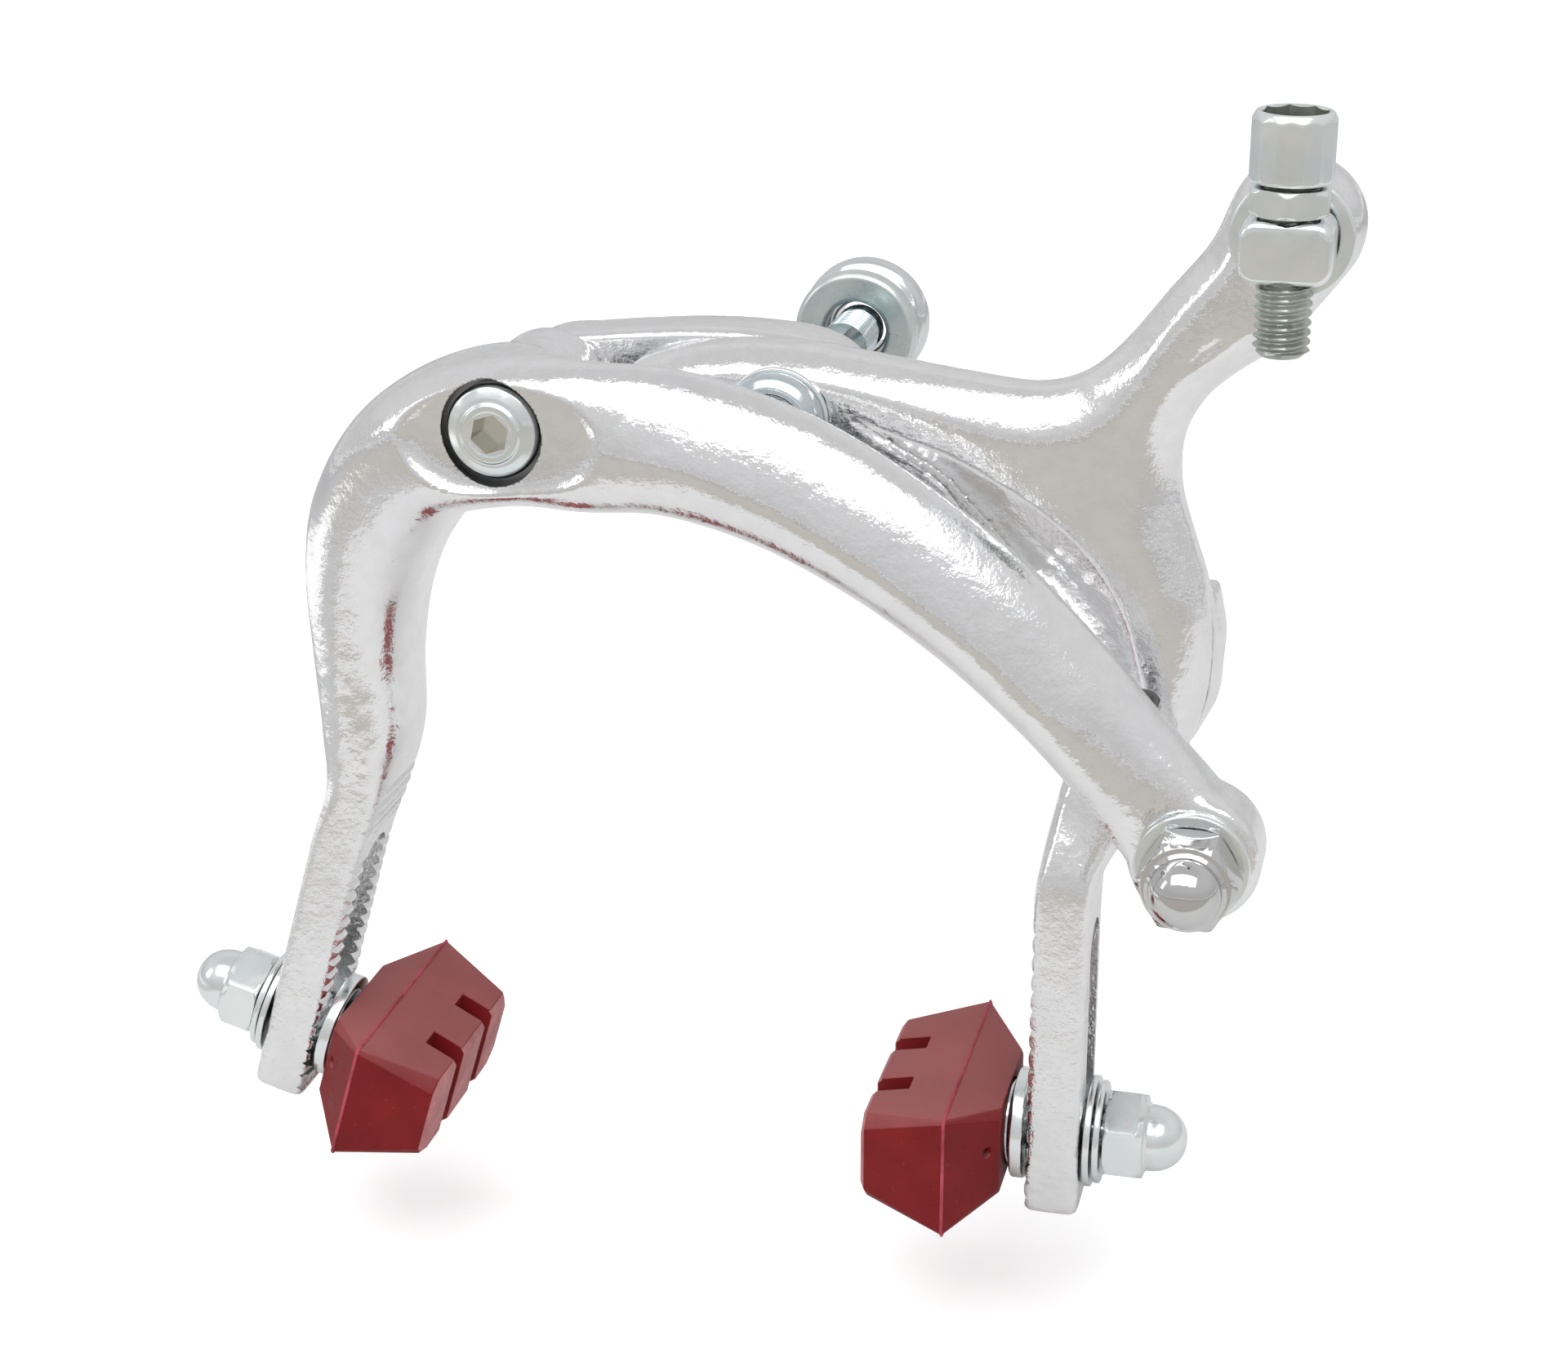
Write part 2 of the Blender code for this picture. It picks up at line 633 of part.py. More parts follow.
def pad_ring(reach, length, height, side):
    """A rectangle of the pad at a distance from the leg's middle, with small corner cuts."""
    cut = 0.7
    y, z = 0.5 * length, 0.5 * height
    corners = [
        (y, z - cut), (y - cut, z), (-y + cut, z), (-y, z - cut),
        (-y, -z + cut), (-y + cut, -z), (y - cut, -z), (y, -z + cut),
    ]
    return [(side * reach, v, w) for v, w in corners]


def build_pad(name, side, rubber, frame):
    """A brake pad: widest at its parting plane, with two slots across the braking face."""
    rings = [
        pad_ring(PAD_BACK, PAD_BACK_LENGTH, PAD_BACK_HEIGHT, side),
        pad_ring(PAD_PARTING, PAD_LENGTH, PAD_HEIGHT, side),
        pad_ring(PAD_FACE, PAD_FACE_LENGTH, PAD_FACE_HEIGHT, side),
    ]
    pad = link(name, loft_mesh(name, rings), rubber, frame)
    for end in (-1, 1):
        cutter = name + ("_near_slot" if end < 0 else "_far_slot")
        width = 0.5 * PAD_SLOT_W
        inner = PAD_FACE - PAD_SLOT_DEPTH
        outline = [(inner, -width), (30.0, -width), (30.0, width), (inner, width)]
        mesh = prism_mesh(cutter, outline, -10.0, 10.0)
        if side < 0:
            mesh.transform(Matrix.Rotation(math.pi, 4, "Z"))
        mesh.transform(Matrix.Translation(Vector((0.0, end * 5.2, 0.0)) * MM))
        modified(pad, helper(cutter, mesh, frame))
    socket = [
        (0.0, 0.0), (5.4, 0.0), (5.4, PAD_BACK + 1.9), (0.5 * STUD_D + GAP, PAD_BACK + 1.9),
        (0.5 * STUD_D + GAP, PAD_BACK + 6.0), (0.0, PAD_BACK + 6.0),
    ]
    mesh = along_x(turned_mesh(name + "_socket", socket), side)
    modified(pad, helper(name + "_socket", mesh, frame))


def build_pad_holder(prefix, side, stud_frame, zinc, steel, rubber):
    """One pad with its stud, the washers on both sides of the leg and the domed nut."""
    build_pad(prefix + "_brake_pad", side, rubber, stud_frame)
    leg = 0.5 * LEG_THICK
    stud = [
        (0.0, PAD_BACK + 5.6),
        (0.5 * STUD_D, PAD_BACK + 5.6),
        (0.5 * STUD_D, PAD_BACK + 1.5),
        (5.0, PAD_BACK + 1.5),
        (5.0, PAD_BACK - 0.4),
        (0.5 * STUD_D, PAD_BACK - 0.4),
        (0.5 * STUD_D, -10.8),
        (0.0, -10.8),
    ]
    pieces = (
        ("_pad_stud", stud, steel, 0.0, 1),
        ("_inner_washer", ring_section(3.4, 0.5 * WASHER_D, leg + GAP, leg + 1.9), zinc, 0.0, 1),
        ("_outer_washer", ring_section(3.4, 0.5 * WASHER_D, leg + 0.25, leg + 1.05), zinc, 0.0, -1),
        ("_dished_washer", ring_section(3.4, 6.2, leg + 1.3, leg + 2.1), zinc, 0.0, -1),
        ("_pad_nut", acorn_profile(leg + 2.4, leg + 7.1, leg + 12.0, 6.6), zinc, NUT_AF, -1),
    )
    for suffix, profile, look, flats, way in pieces:
        mesh = turned_mesh(prefix + suffix, profile, 24, flats)
        link(prefix + suffix, along_x(mesh, side * way), look, stud_frame)


def build_cable_stop(zinc, nylon, steel):
    """The swivelling cable stop: block and stud, washers, hollow adjuster and lock nut."""
    half = 0.5 * BLOCK_W
    corner = 1.7
    outline = []
    for k, (u, v) in enumerate(((1, 1), (-1, 1), (-1, -1), (1, -1))):
        centre = (u * (half - corner), 0.5 * (BLOCK_HIGH + BLOCK_LOW) - STOP_Z)
        centre = (centre[0], centre[1] + v * (0.5 * (BLOCK_HIGH - BLOCK_LOW) - corner))
        outline += arc(centre, corner, 90.0 * k, 90.0 * (k + 1), 5)
    block_mesh = prism_mesh("stop_swivel", outline, BLOCK_FRONT, BLOCK_BACK, rim=0.7)
    block = link("stop_swivel", along_y(block_mesh, STOP_X, STOP_Z), zinc)
    stud = turned_mesh("swivel_stud", disc(0.5 * STUD_D, BLOCK_BACK - 1.0, -5.6))
    modified(block, helper("swivel_stud", along_y(stud, STOP_X, STOP_Z)), "UNION")
    bore = turned_mesh("swivel_bore", disc(0.5 * STUD_D + GAP, 0.0, 60.0))
    bore.transform(Matrix.Translation(Vector((STOP_X, BARREL_Y, 0.0)) * MM))
    modified(block, helper("swivel_bore", bore))
    washer("stop_black_washer", nylon, 6.8, 12.4, -19.8, -19.0, STOP_X, STOP_Z)
    washer("stop_flange_washer", zinc, 6.8, 13.2, -18.7, -17.3, STOP_X, STOP_Z)
    washer("stop_retaining_ring", steel, 6.6, 10.4, REAR_BACK + GAP, -6.4, STOP_X, STOP_Z)
    thread_r = 0.5 * STUD_D
    outer = 0.5 * BARREL_D
    barrel = [
        (CABLE_R, THREAD_LOW),
        (thread_r - 0.6, THREAD_LOW),
        (thread_r, THREAD_LOW + 0.6),
        (thread_r, CUP_LOW),
        (outer - 0.5, CUP_LOW),
        (outer, CUP_LOW + 0.5),
        (outer, CUP_HIGH - 0.8),
        (outer - 0.8, CUP_HIGH),
        (CUP_BORE_R + 0.4, CUP_HIGH),
        (CUP_BORE_R, CUP_HIGH - 0.4),
        (CUP_BORE_R, CUP_LOW + 1.4),
        (CABLE_R, CUP_LOW + 1.4),
    ]
    lock_low, lock_high = BLOCK_HIGH + GAP, CUP_LOW - GAP
    corner_r = LOCK_NUT_AF / math.sqrt(3.0)
    lock = [
        (thread_r + GAP, lock_low),
        (0.5 * LOCK_NUT_AF, lock_low),
        (corner_r, lock_low + 0.5),
        (corner_r, lock_high - 0.5),
        (0.5 * LOCK_NUT_AF, lock_high),
        (thread_r + GAP, lock_high),
    ]
    for name, profile, flats in (("adjuster_barrel", barrel, 0.0), ("adjuster_lock_nut", lock, LOCK_NUT_AF)):
        mesh = turned_mesh(name, profile, 24, flats)
        mesh.transform(Matrix.Translation(Vector((STOP_X, BARREL_Y, 0.0)) * MM))
        link(name, mesh, zinc)


def build_spring(steel, nylon):
    """The return spring, a bowed wire behind the arms that pushes both legs outwards."""
    route = [
        (-50.8, WIRE_END_Y, -29.0),
        (-50.2, WIRE_END_Y, -22.0),
        (-43.0, -5.0, -13.5),
        (-29.0, WIRE_Y, -9.5),
        (HOLDER_X, WIRE_Y, HOLDER_Z),
        (8.0, WIRE_Y, -9.4),
        (26.0, -4.6, -12.4),
        (38.0, -5.4, -17.4),
        (41.0, WIRE_END_Y, -23.0),
        (41.4, WIRE_END_Y, -29.0),
    ]
    curve = bpy.data.curves.new("return_spring", "CURVE")
    curve.dimensions = "3D"
    curve.bevel_depth = 0.5 * WIRE_D * MM
    curve.bevel_resolution = 2
    curve.use_fill_caps = True
    points = smooth_path(route, 3)
    spline = curve.splines.new("POLY")
    spline.points.add(len(points) - 1)
    for point, place in zip(spline.points, points):
        point.co = (*(Vector(place) * MM), 1.0)
    link("return_spring", curve, steel)
    outline = [(-1.9, -1.9), (1.9, -1.9), (1.9, 2.0), (-1.9, 2.0)]
    holder_mesh = prism_mesh("spring_holder", outline, -4.0, 4.0)
    holder_mesh.transform(Matrix.Rotation(math.radians(90.0), 4, "Y"))
    holder_mesh.transform(Matrix.Translation(Vector((HOLDER_X, WIRE_Y, HOLDER_Z)) * MM))
    holder = link("spring_holder", holder_mesh, nylon)
    hole = turned_mesh("holder_hole", disc(0.5 * WIRE_D + GAP, -8.0, 8.0), 16)
    hole.transform(Matrix.Rotation(math.radians(90.0), 4, "Y"))
    hole.transform(Matrix.Translation(Vector((HOLDER_X, WIRE_Y, HOLDER_Z)) * MM))
    modified(holder, helper("holder_hole", hole))


def hang(frame, *names):
    """Parents the named objects to an empty without moving them."""
    for name in names:
        child = bpy.data.objects[name]
        child.parent = frame
        child.location = child.location - frame.location


def main():
    clear_scene()
    aluminium = material("polished_aluminium", (0.86, 0.86, 0.87), 0.12, 1.0)
    zinc = material("zinc_plate", (0.70, 0.74, 0.74), 0.25, 1.0)
    chrome = material("chrome_plate", (0.85, 0.85, 0.86), 0.06, 1.0)
    steel = material("bright_steel", (0.78, 0.79, 0.80), 0.2, 1.0)
    bronze = material("bearing_bronze", (0.72, 0.50, 0.25), 0.35, 1.0)
    nylon = material("black_nylon", (0.03, 0.03, 0.03), 0.5, 0.0)
    rubber = material("red_rubber", (0.22, 0.02, 0.03), 0.55, 0.0)
    left = empty("left_stud_axis", (LEFT_STUD[0], LEG_Y, LEFT_STUD[1]), LEFT_LEAN)
    right = empty("right_stud_axis", (RIGHT_STUD[0], LEG_Y, RIGHT_STUD[1]))
    build_centre_bolt(zinc)
    build_centre_stack(zinc, steel, nylon)
    build_bracket(aluminium)
    build_side_pivot(zinc, nylon)
    build_front_arm(aluminium, bronze, nylon, left)
    build_rear_arm(aluminium, bronze, nylon, steel, right)
    build_anchor(steel, chrome)
    build_cable_stop(zinc, nylon, steel)
    build_pad_holder("left", 1, left, zinc, steel, rubber)
    build_pad_holder("right", -1, right, zinc, steel, rubber)
    build_spring(steel, nylon)
    front = empty("front_arm_pivot", (PIVOT_X, 0.0, PIVOT_Z))
    rear = empty("rear_arm_pivot", (0.0, 0.0, 0.0))
    anchor = empty("anchor_axis", (ANCHOR_X, 0.0, ANCHOR_Z))
    swivel = empty("swivel_axis", (STOP_X, 0.0, STOP_Z))
    barrel = empty("barrel_axis", (STOP_X, BARREL_Y, 0.0))
    hang(front, "front_arm", "front_arm_bush", "left_spring_slider", "left_stud_axis")
    hang(rear, "rear_arm", "rear_arm_bush", "right_spring_slider", "centring_screw")
    hang(rear, "right_stud_axis")
    hang(anchor, "anchor_bolt", "anchor_washer", "anchor_nut")
    hang(swivel, "stop_swivel", "stop_black_washer", "stop_flange_washer", "stop_retaining_ring")
    hang(barrel, "adjuster_barrel", "adjuster_lock_nut")


main()
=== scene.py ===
"""Looks, light and camera for the long-reach dual-pivot rim brake caliper.

The frame is in metres: +X right, +Y towards the fork crown, +Z up, origin on the centre bolt.
Lengths below are in millimetres unless a name says otherwise.
"""

import json
import math

import bmesh
import bpy
import numpy as np
from mathutils import Matrix, Vector


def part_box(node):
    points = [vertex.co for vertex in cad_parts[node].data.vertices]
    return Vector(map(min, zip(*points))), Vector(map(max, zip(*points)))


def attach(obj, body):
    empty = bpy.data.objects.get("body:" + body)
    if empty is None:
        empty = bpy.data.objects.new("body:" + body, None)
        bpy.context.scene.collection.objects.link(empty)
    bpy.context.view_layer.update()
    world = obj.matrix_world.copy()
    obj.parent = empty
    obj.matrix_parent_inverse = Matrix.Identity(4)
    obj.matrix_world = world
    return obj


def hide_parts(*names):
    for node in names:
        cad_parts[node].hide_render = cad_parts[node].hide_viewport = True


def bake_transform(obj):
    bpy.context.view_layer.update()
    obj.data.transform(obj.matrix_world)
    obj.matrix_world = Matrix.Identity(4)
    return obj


MM = 0.001
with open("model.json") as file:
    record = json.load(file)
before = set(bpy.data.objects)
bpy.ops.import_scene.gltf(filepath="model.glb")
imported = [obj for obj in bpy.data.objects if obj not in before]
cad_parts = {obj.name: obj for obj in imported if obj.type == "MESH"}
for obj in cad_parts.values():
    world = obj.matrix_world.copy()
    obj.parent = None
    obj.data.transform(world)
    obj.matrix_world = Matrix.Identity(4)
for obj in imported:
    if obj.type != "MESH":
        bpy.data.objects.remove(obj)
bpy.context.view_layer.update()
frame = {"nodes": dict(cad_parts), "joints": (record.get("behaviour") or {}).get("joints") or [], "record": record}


# Places taken from the frame


def middle(node):
    """The middle of a CAD node's box, in millimetres."""
    low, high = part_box(node)
    return (low + high) * (0.5 / MM)


def span(node, axis):
    """A node's lowest and highest coordinate along an axis, in millimetres."""
    low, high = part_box(node)
    return low[axis] / MM, high[axis] / MM


def pad_joints(side):
    """The middle of a pad's stud, its direction towards the rim and the way it slides."""
    joints = {j["name"]: j for j in frame["joints"]}
    turn, height = joints[side + "_pad_turn"], joints[side + "_pad_height"]
    return Vector(turn["pos_m"]) / MM, Vector(turn["axis"]), Vector(height["axis"])


PIVOT = middle("side_pivot_bolt")
ANCHOR = middle("anchor_washer")
STOP = middle("stop_flange_washer")
BARREL = middle("adjuster_barrel")
LEFT_STUD, LEFT_OUT, LEFT_UP = pad_joints("left")
RIGHT_STUD, RIGHT_OUT, RIGHT_UP = pad_joints("right")
LEFT_LEAN = math.atan2(LEFT_UP.x, LEFT_UP.z)

# The legs' half width, the y of front and back faces, the radii of M6 bolts and of their holes
LEG_HALF, LEG_FRONT, LEG_BACK = 3.35, -22.4, -9.2
REAR_FRONT, REAR_BACK, BEAM_BACK = -17.0, -8.2, -22.7
BOLT_R, BOLT_BORE, WASHER_BORE, BUSH_BORE = 3.0, 3.3, 3.4, 4.3
ORIGIN = Vector((0.0, 0.0, 0.0))
RIGHTWARD, BACKWARD, FORWARD, SKYWARD = (1.0, 0.0, 0.0), (0.0, 1.0, 0.0), (0.0, -1.0, 0.0), (0.0, 0.0, 1.0)
SLOTS = {s["node"]: s["material_slot"] for s in frame["record"]["subparts"]}


# Meshes


def as_mesh(verts, faces):
    mesh = bpy.data.meshes.new("mesh")
    mesh.from_pydata([tuple(v) for v in verts], [], faces)
    build = bmesh.new()
    build.from_mesh(mesh)
    bmesh.ops.recalc_face_normals(build, faces=build.faces)
    build.to_mesh(mesh)
    build.free()
    return mesh


def softened(profile, radius):
    """The profile with each sharp corner off the axis replaced by a small round."""
    points = [Vector(p) for p in profile]
    made = []
    for k, here in enumerate(points):
        before, after = points[k - 1] - here, points[(k + 1) % len(points)] - here
        kept = k in (0, len(points) - 1) or here.x < 1e-6 or min(before.length, after.length) < 1e-6
        if kept or before.angle(after) > math.radians(165):
            made.append(tuple(here))
            continue
        start = here + before.normalized() * min(radius, 0.4 * before.length)
        end = here + after.normalized() * min(radius, 0.4 * after.length)
        for t in (0.0, 0.25, 0.5, 0.75, 1.0):
            point = start * (1 - t) ** 2 + here * 2 * t * (1 - t) + end * t * t
            made.append(tuple(point))
    return made


def thread_rows(radius, low, high, pitch=1.0, depth=0.55):
    """Profile rows for a thread: (radius, height, depth, pitch)."""
    count = max(2, int(abs(high - low) / (0.1 * pitch)))
    return [(radius, low + (high - low) * k / count, depth, pitch) for k in range(count + 1)]


def reach_at(row, angle, flats):
    """The radius of a profile row at an angle, with its hexagon or its thread."""
    radius = row[0]
    if len(row) > 2:
        turn = row[1] / row[3] - angle / (2.0 * math.pi)
        radius -= row[2] * (0.5 - 0.5 * math.cos(2.0 * math.pi * turn)) ** 0.8
    if flats:
        step = 2.0 * math.pi / flats[1]
        off = (angle + 0.5 * step) % step - 0.5 * step
        radius = min(radius, 0.5 * flats[0] / math.cos(off))
    return radius


def turned(profile, sides=96, flats=None):
    """A turned piece about Z. flats is (across flats, how many) where the radius passes them."""
    verts, rings = [], []
    for row in profile:
        if row[0] < 1e-6:
            rings.append([len(verts)])
            verts.append((0.0, 0.0, row[1]))
            continue
        ring = []
        for k in range(sides):
            angle = 2.0 * math.pi * k / sides
            reach = reach_at(row, angle, flats)
            ring.append(len(verts))
            verts.append((reach * math.cos(angle), reach * math.sin(angle), row[1]))
        rings.append(ring)
    pairs = list(zip(rings, rings[1:]))
    if len(rings[0]) > 1:
        pairs.append((rings[-1], rings[0]))
    faces = []
    for low, high in pairs:
        for k in range(sides):
            j = (k + 1) % sides
            loop = [low[k % len(low)], low[j % len(low)], high[j % len(high)], high[k % len(high)]]
            loop = list(dict.fromkeys(loop))
            if len(loop) > 2:
                faces.append(loop)
    return as_mesh(verts, faces)


def prism(outline, low, high):
    """An outline of (u, v) points extruded along Z."""
    count = len(outline)
    verts = [(u, v, low) for u, v in outline] + [(u, v, high) for u, v in outline]
    faces = [list(range(count)), list(range(count, 2 * count))]
    faces += [[k, (k + 1) % count, count + (k + 1) % count, count + k] for k in range(count)]
    return as_mesh(verts, faces)


def lofted(rings):
    """A closed skin over rings of equally many points, with flat ends."""
    count = len(rings[0])
    verts = [point for ring in rings for point in ring]
    faces = [list(range(count)), list(range(len(verts) - count, len(verts)))]
    for r in range(len(rings) - 1):
        a, b = r * count, (r + 1) * count
        faces += [[a + k, a + (k + 1) % count, b + (k + 1) % count, b + k] for k in range(count)]
    return as_mesh(verts, faces)


def smooth_path(points, steps):
    """Points on a Catmull-Rom curve through tuples of numbers, ends included."""
    spread = [points[0], *points, points[-1]]
    path = []
    for k in range(1, len(spread) - 2):
        rows = np.array(spread[k - 1 : k + 3], float)
        for s in range(steps):
            t = s / steps
            ends = (-t + 2 * t * t - t**3, t**3 - t * t)
            weights = np.array((ends[0], 2 - 5 * t * t + 3 * t**3, t + 4 * t * t - 3 * t**3, ends[1]))
            path.append(tuple(0.5 * weights @ rows))
    path.append(tuple(float(n) for n in points[-1]))
    return path


def smooth_ring(points, steps):
    count = len(points)
    wrapped = [points[k % count] for k in range(-2, count + 2)]
    return smooth_path(wrapped, steps)[2 * steps : (count + 2) * steps]


def arc(centre, radius, start, end, count):
    turns = [math.radians(start + (end - start) * k / (count - 1)) for k in range(count)]
    return [(centre[0] + radius * math.cos(t), centre[1] + radius * math.sin(t)) for t in turns]


FACE_BACK = Matrix(((1, 0, 0, 0), (0, 0, 1, 0), (0, 1, 0, 0), (0, 0, 0, 1)))


def moved(mesh, matrix):
    mesh.transform(matrix)
    if matrix.determinant() < 0:
        mesh.flip_normals()
    return mesh


def along_y(mesh, x=0.0, z=0.0):
    """Turns a mesh made about Z so that its Z runs along +Y, at (x, z)."""
    return moved(mesh, Matrix.Translation((x, 0.0, z)) @ FACE_BACK)


def along(mesh, place, direction=BACKWARD, up=SKYWARD):
    """Stands a mesh made about Z on a place, with its Z along direction and its X along up."""
    z = Vector(direction).normalized()
    x = (Vector(up) - z * Vector(up).dot(z)).normalized()
    y = z.cross(x)
    turn = Matrix((x, y, z)).transposed().to_4x4()
    return moved(mesh, Matrix.Translation(place) @ turn)


def bore(radius, low, high, x=0.0, z=0.0):
    """The cutter for a round hole along Y."""
    return along_y(turned([(0.0, low), (radius, low), (radius, high), (0.0, high)]), x, z)


def linked(name, data):
    made = bpy.data.objects.new(name, data)
    bpy.context.scene.collection.objects.link(made)
    return made


def piece(name, mesh, look, body, node, sharp=32.0, bend=None):
    """Puts a mesh made in millimetres on a body, in place of a CAD node. Given a bend, the piece goes
    on no body and keeps its place baked into its mesh; the body and points in bend are not used."""
    mesh.transform(Matrix.Scale(MM, 4))
    mesh.shade_smooth()
    mesh.set_sharp_from_angle(angle=math.radians(sharp))
    mesh.materials.clear()
    mesh.materials.append(look)
    made = linked(name, mesh)
    if bend:
        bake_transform(made)
    else:
        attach(made, body)
    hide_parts(node)
    return made


def turned_piece(node, mesh, look, body):
    """A piece named after its CAD node."""
    return piece(node + "_turned", mesh, look, body, node)


def paint(made, look, test):
    """Gives a piece's faces that pass the test, on their middles in millimetres, another look."""
    made.data.materials.append(look)
    index = len(made.data.materials) - 1
    for face in made.data.polygons:
        if test(face.center / MM):
            face.material_index = index


def from_pivot(centre):
    """How far a point is from the side pivot's axis."""
    return math.hypot(centre.x - PIVOT.x, centre.z - PIVOT.z)


def joined(meshes):
    build = bmesh.new()
    for mesh in meshes:
        build.from_mesh(mesh)
    out = bpy.data.meshes.new("joined")
    build.to_mesh(out)
    build.free()
    return out


def modified(mesh, kind, **settings):
    """The mesh with one modifier applied."""
    made = linked("temporary", mesh)
    step = made.modifiers.new("step", kind)
    for key, value in settings.items():
        setattr(step, key, value)
    graph = bpy.context.evaluated_depsgraph_get()
    result = bpy.data.meshes.new_from_object(made.evaluated_get(graph))
    bpy.data.objects.remove(made)
    return result


def cut(mesh, cutters, operation="DIFFERENCE"):
    """The mesh less (or plus) the cutters, which don't touch each other."""
    tool = linked("tool", joined(cutters))
    result = modified(mesh, "BOOLEAN", operation=operation, solver="EXACT", object=tool)
    bpy.data.objects.remove(tool)
    return result


def bevelled(mesh, width, angle):
    """The mesh with its edges sharper than an angle rounded."""
    limits = {"limit_method": "ANGLE", "angle_limit": math.radians(angle)}
    return modified(mesh, "BEVEL", width=width, segments=3, **limits)


def relaxed(mesh, rounds):
    """Evens out a dense mesh by moving each vertex towards its neighbours' mean."""
    count = len(mesh.vertices)
    co = np.empty(count * 3)
    mesh.vertices.foreach_get("co", co)
    co = co.reshape(-1, 3)
    edges = np.empty(len(mesh.edges) * 2, np.int64)
    mesh.edges.foreach_get("vertices", edges)
    a, b = edges.reshape(-1, 2).T
    number = np.bincount(a, minlength=count) + np.bincount(b, minlength=count)
    for _ in range(rounds):
        total = np.empty_like(co)
        for axis in range(3):
            total[:, axis] = np.bincount(a, co[b, axis], count) + np.bincount(b, co[a, axis], count)
        co += 0.5 * (total / number[:, None] - co)
    mesh.vertices.foreach_set("co", co.ravel())
    mesh.update()
    return mesh


def fused(meshes, voxel, rounds):
    """One forged skin over overlapping solids, with their joins blended."""
    skin = modified(joined(meshes), "REMESH", mode="VOXEL", voxel_size=voxel)
    return relaxed(skin, rounds)


# Materials


def set_ramp(ramp, stops):
    """Stops are (position, value or colour)."""
    while len(ramp.elements) < len(stops):
        ramp.elements.new(0.5)
    for element, (position, value) in zip(ramp.elements, stops):
        element.position = position
        shade = value if isinstance(value, tuple) else (value,) * 3
        element.color = (*shade, 1.0)


class Nodes:
    """A short way to wire up a procedural material."""

    def __init__(self, name):
        self.material = bpy.data.materials.new(name)
        self.material.use_nodes = True
        self.tree = self.material.node_tree
        self.shader = self.tree.nodes["Principled BSDF"]
        self.place = self.add("ShaderNodeTexCoord").outputs["Object"]

    def add(self, kind, inputs=None, **settings):
        """A node with its settings, its inputs fed with numbers, colours or other nodes' outputs."""
        node = self.tree.nodes.new(kind)
        for key, value in settings.items():
            setattr(node, key, value)
        for key, value in (inputs or {}).items():
            if isinstance(value, tuple):
                node.inputs[key].default_value = (*value, 1.0)
            elif isinstance(value, (int, float)):
                node.inputs[key].default_value = value
            else:
                self.link(value, node.inputs[key])
        return node

    def link(self, source, target):
        self.tree.links.new(source, target)

    def set(self, **values):
        for key, value in values.items():
            self.shader.inputs[key.replace("_", " ")].default_value = value

    def colour(self, source):
        self.link(source, self.shader.inputs["Base Color"])

    def rough(self, source):
        self.link(source, self.shader.inputs["Roughness"])

    def noise(self, scale, detail, rough, distortion=0.0):
        inputs = {"Vector": self.place, "Scale": scale, "Detail": detail, "Roughness": rough}
        return self.add("ShaderNodeTexNoise", {**inputs, "Distortion": distortion}).outputs["Fac"]

    def ramp(self, source, *stops):
        node = self.add("ShaderNodeValToRGB", {"Fac": source})
        set_ramp(node.color_ramp, stops)
        return node.outputs["Color"]

    def math(self, operation, first, second):
        return self.add("ShaderNodeMath", {0: first, 1: second}, operation=operation).outputs[0]

    def mix(self, factor, first, second):
        return self.add("ShaderNodeMix", {0: factor, 6: first, 7: second}, data_type="RGBA").outputs[2]

    def z_of(self, source):
        return self.add("ShaderNodeSeparateXYZ", {0: source}).outputs["Z"]

    def bump(self, layers):
        """Layers are (height, distance in metres, strength), laid over each other."""
        normal = None
        for height, distance, strength in layers:
            node = self.add("ShaderNodeBump", {"Height": height, "Distance": distance, "Strength": strength})
            if normal is not None:
                self.link(normal, node.inputs["Normal"])
            normal = node.outputs["Normal"]
        self.link(normal, self.shader.inputs["Normal"])


def polished_aluminium():
    m = Nodes("polished_aluminium_look")
    m.set(Metallic=1.0)
    fine = m.noise(2600.0, 3.0, 0.6)
    peel = m.noise(820.0, 3.0, 0.6)
    wave = m.noise(130.0, 2.0, 0.5)
    swell = m.noise(55.0, 1.0, 0.4)
    cloud = m.noise(45.0, 4.0, 0.6)
    height = m.math("MULTIPLY", m.math("ADD", m.z_of(m.place), 0.1), 10.0)
    low = m.ramp(height, (0.0, 1.0), (0.42, 0.9), (0.56, 0.0))
    colour = m.ramp(cloud, (0.3, (0.86, 0.862, 0.872)), (0.7, (0.915, 0.912, 0.91)))
    mottle = m.ramp(m.noise(430.0, 4.0, 0.7), (0.38, 0.0), (0.62, 1.0))
    speckle = m.math("MULTIPLY", mottle, 0.55)
    m.colour(m.mix(speckle, colour, (0.80, 0.80, 0.80)))
    m.rough(m.math("ADD", m.ramp(peel, (0.35, 0.075), (0.75, 0.15)), m.math("MULTIPLY", low, 0.06)))
    grain = m.math("MULTIPLY", m.noise(1150.0, 3.0, 0.7), low)
    worn = m.ramp(height, (0.0, 1.0), (0.62, 0.9), (0.8, 0.0))
    lumps = m.math("MULTIPLY", m.noise(300.0, 2.0, 0.5), worn)
    broad = [(lumps, 0.00035, 0.6), (swell, 0.0010, 0.5), (wave, 0.0004, 0.5)]
    m.bump(broad + [(peel, 0.0001, 0.85), (fine, 0.00002, 0.7), (grain, 0.00016, 1.0)])
    return m.material


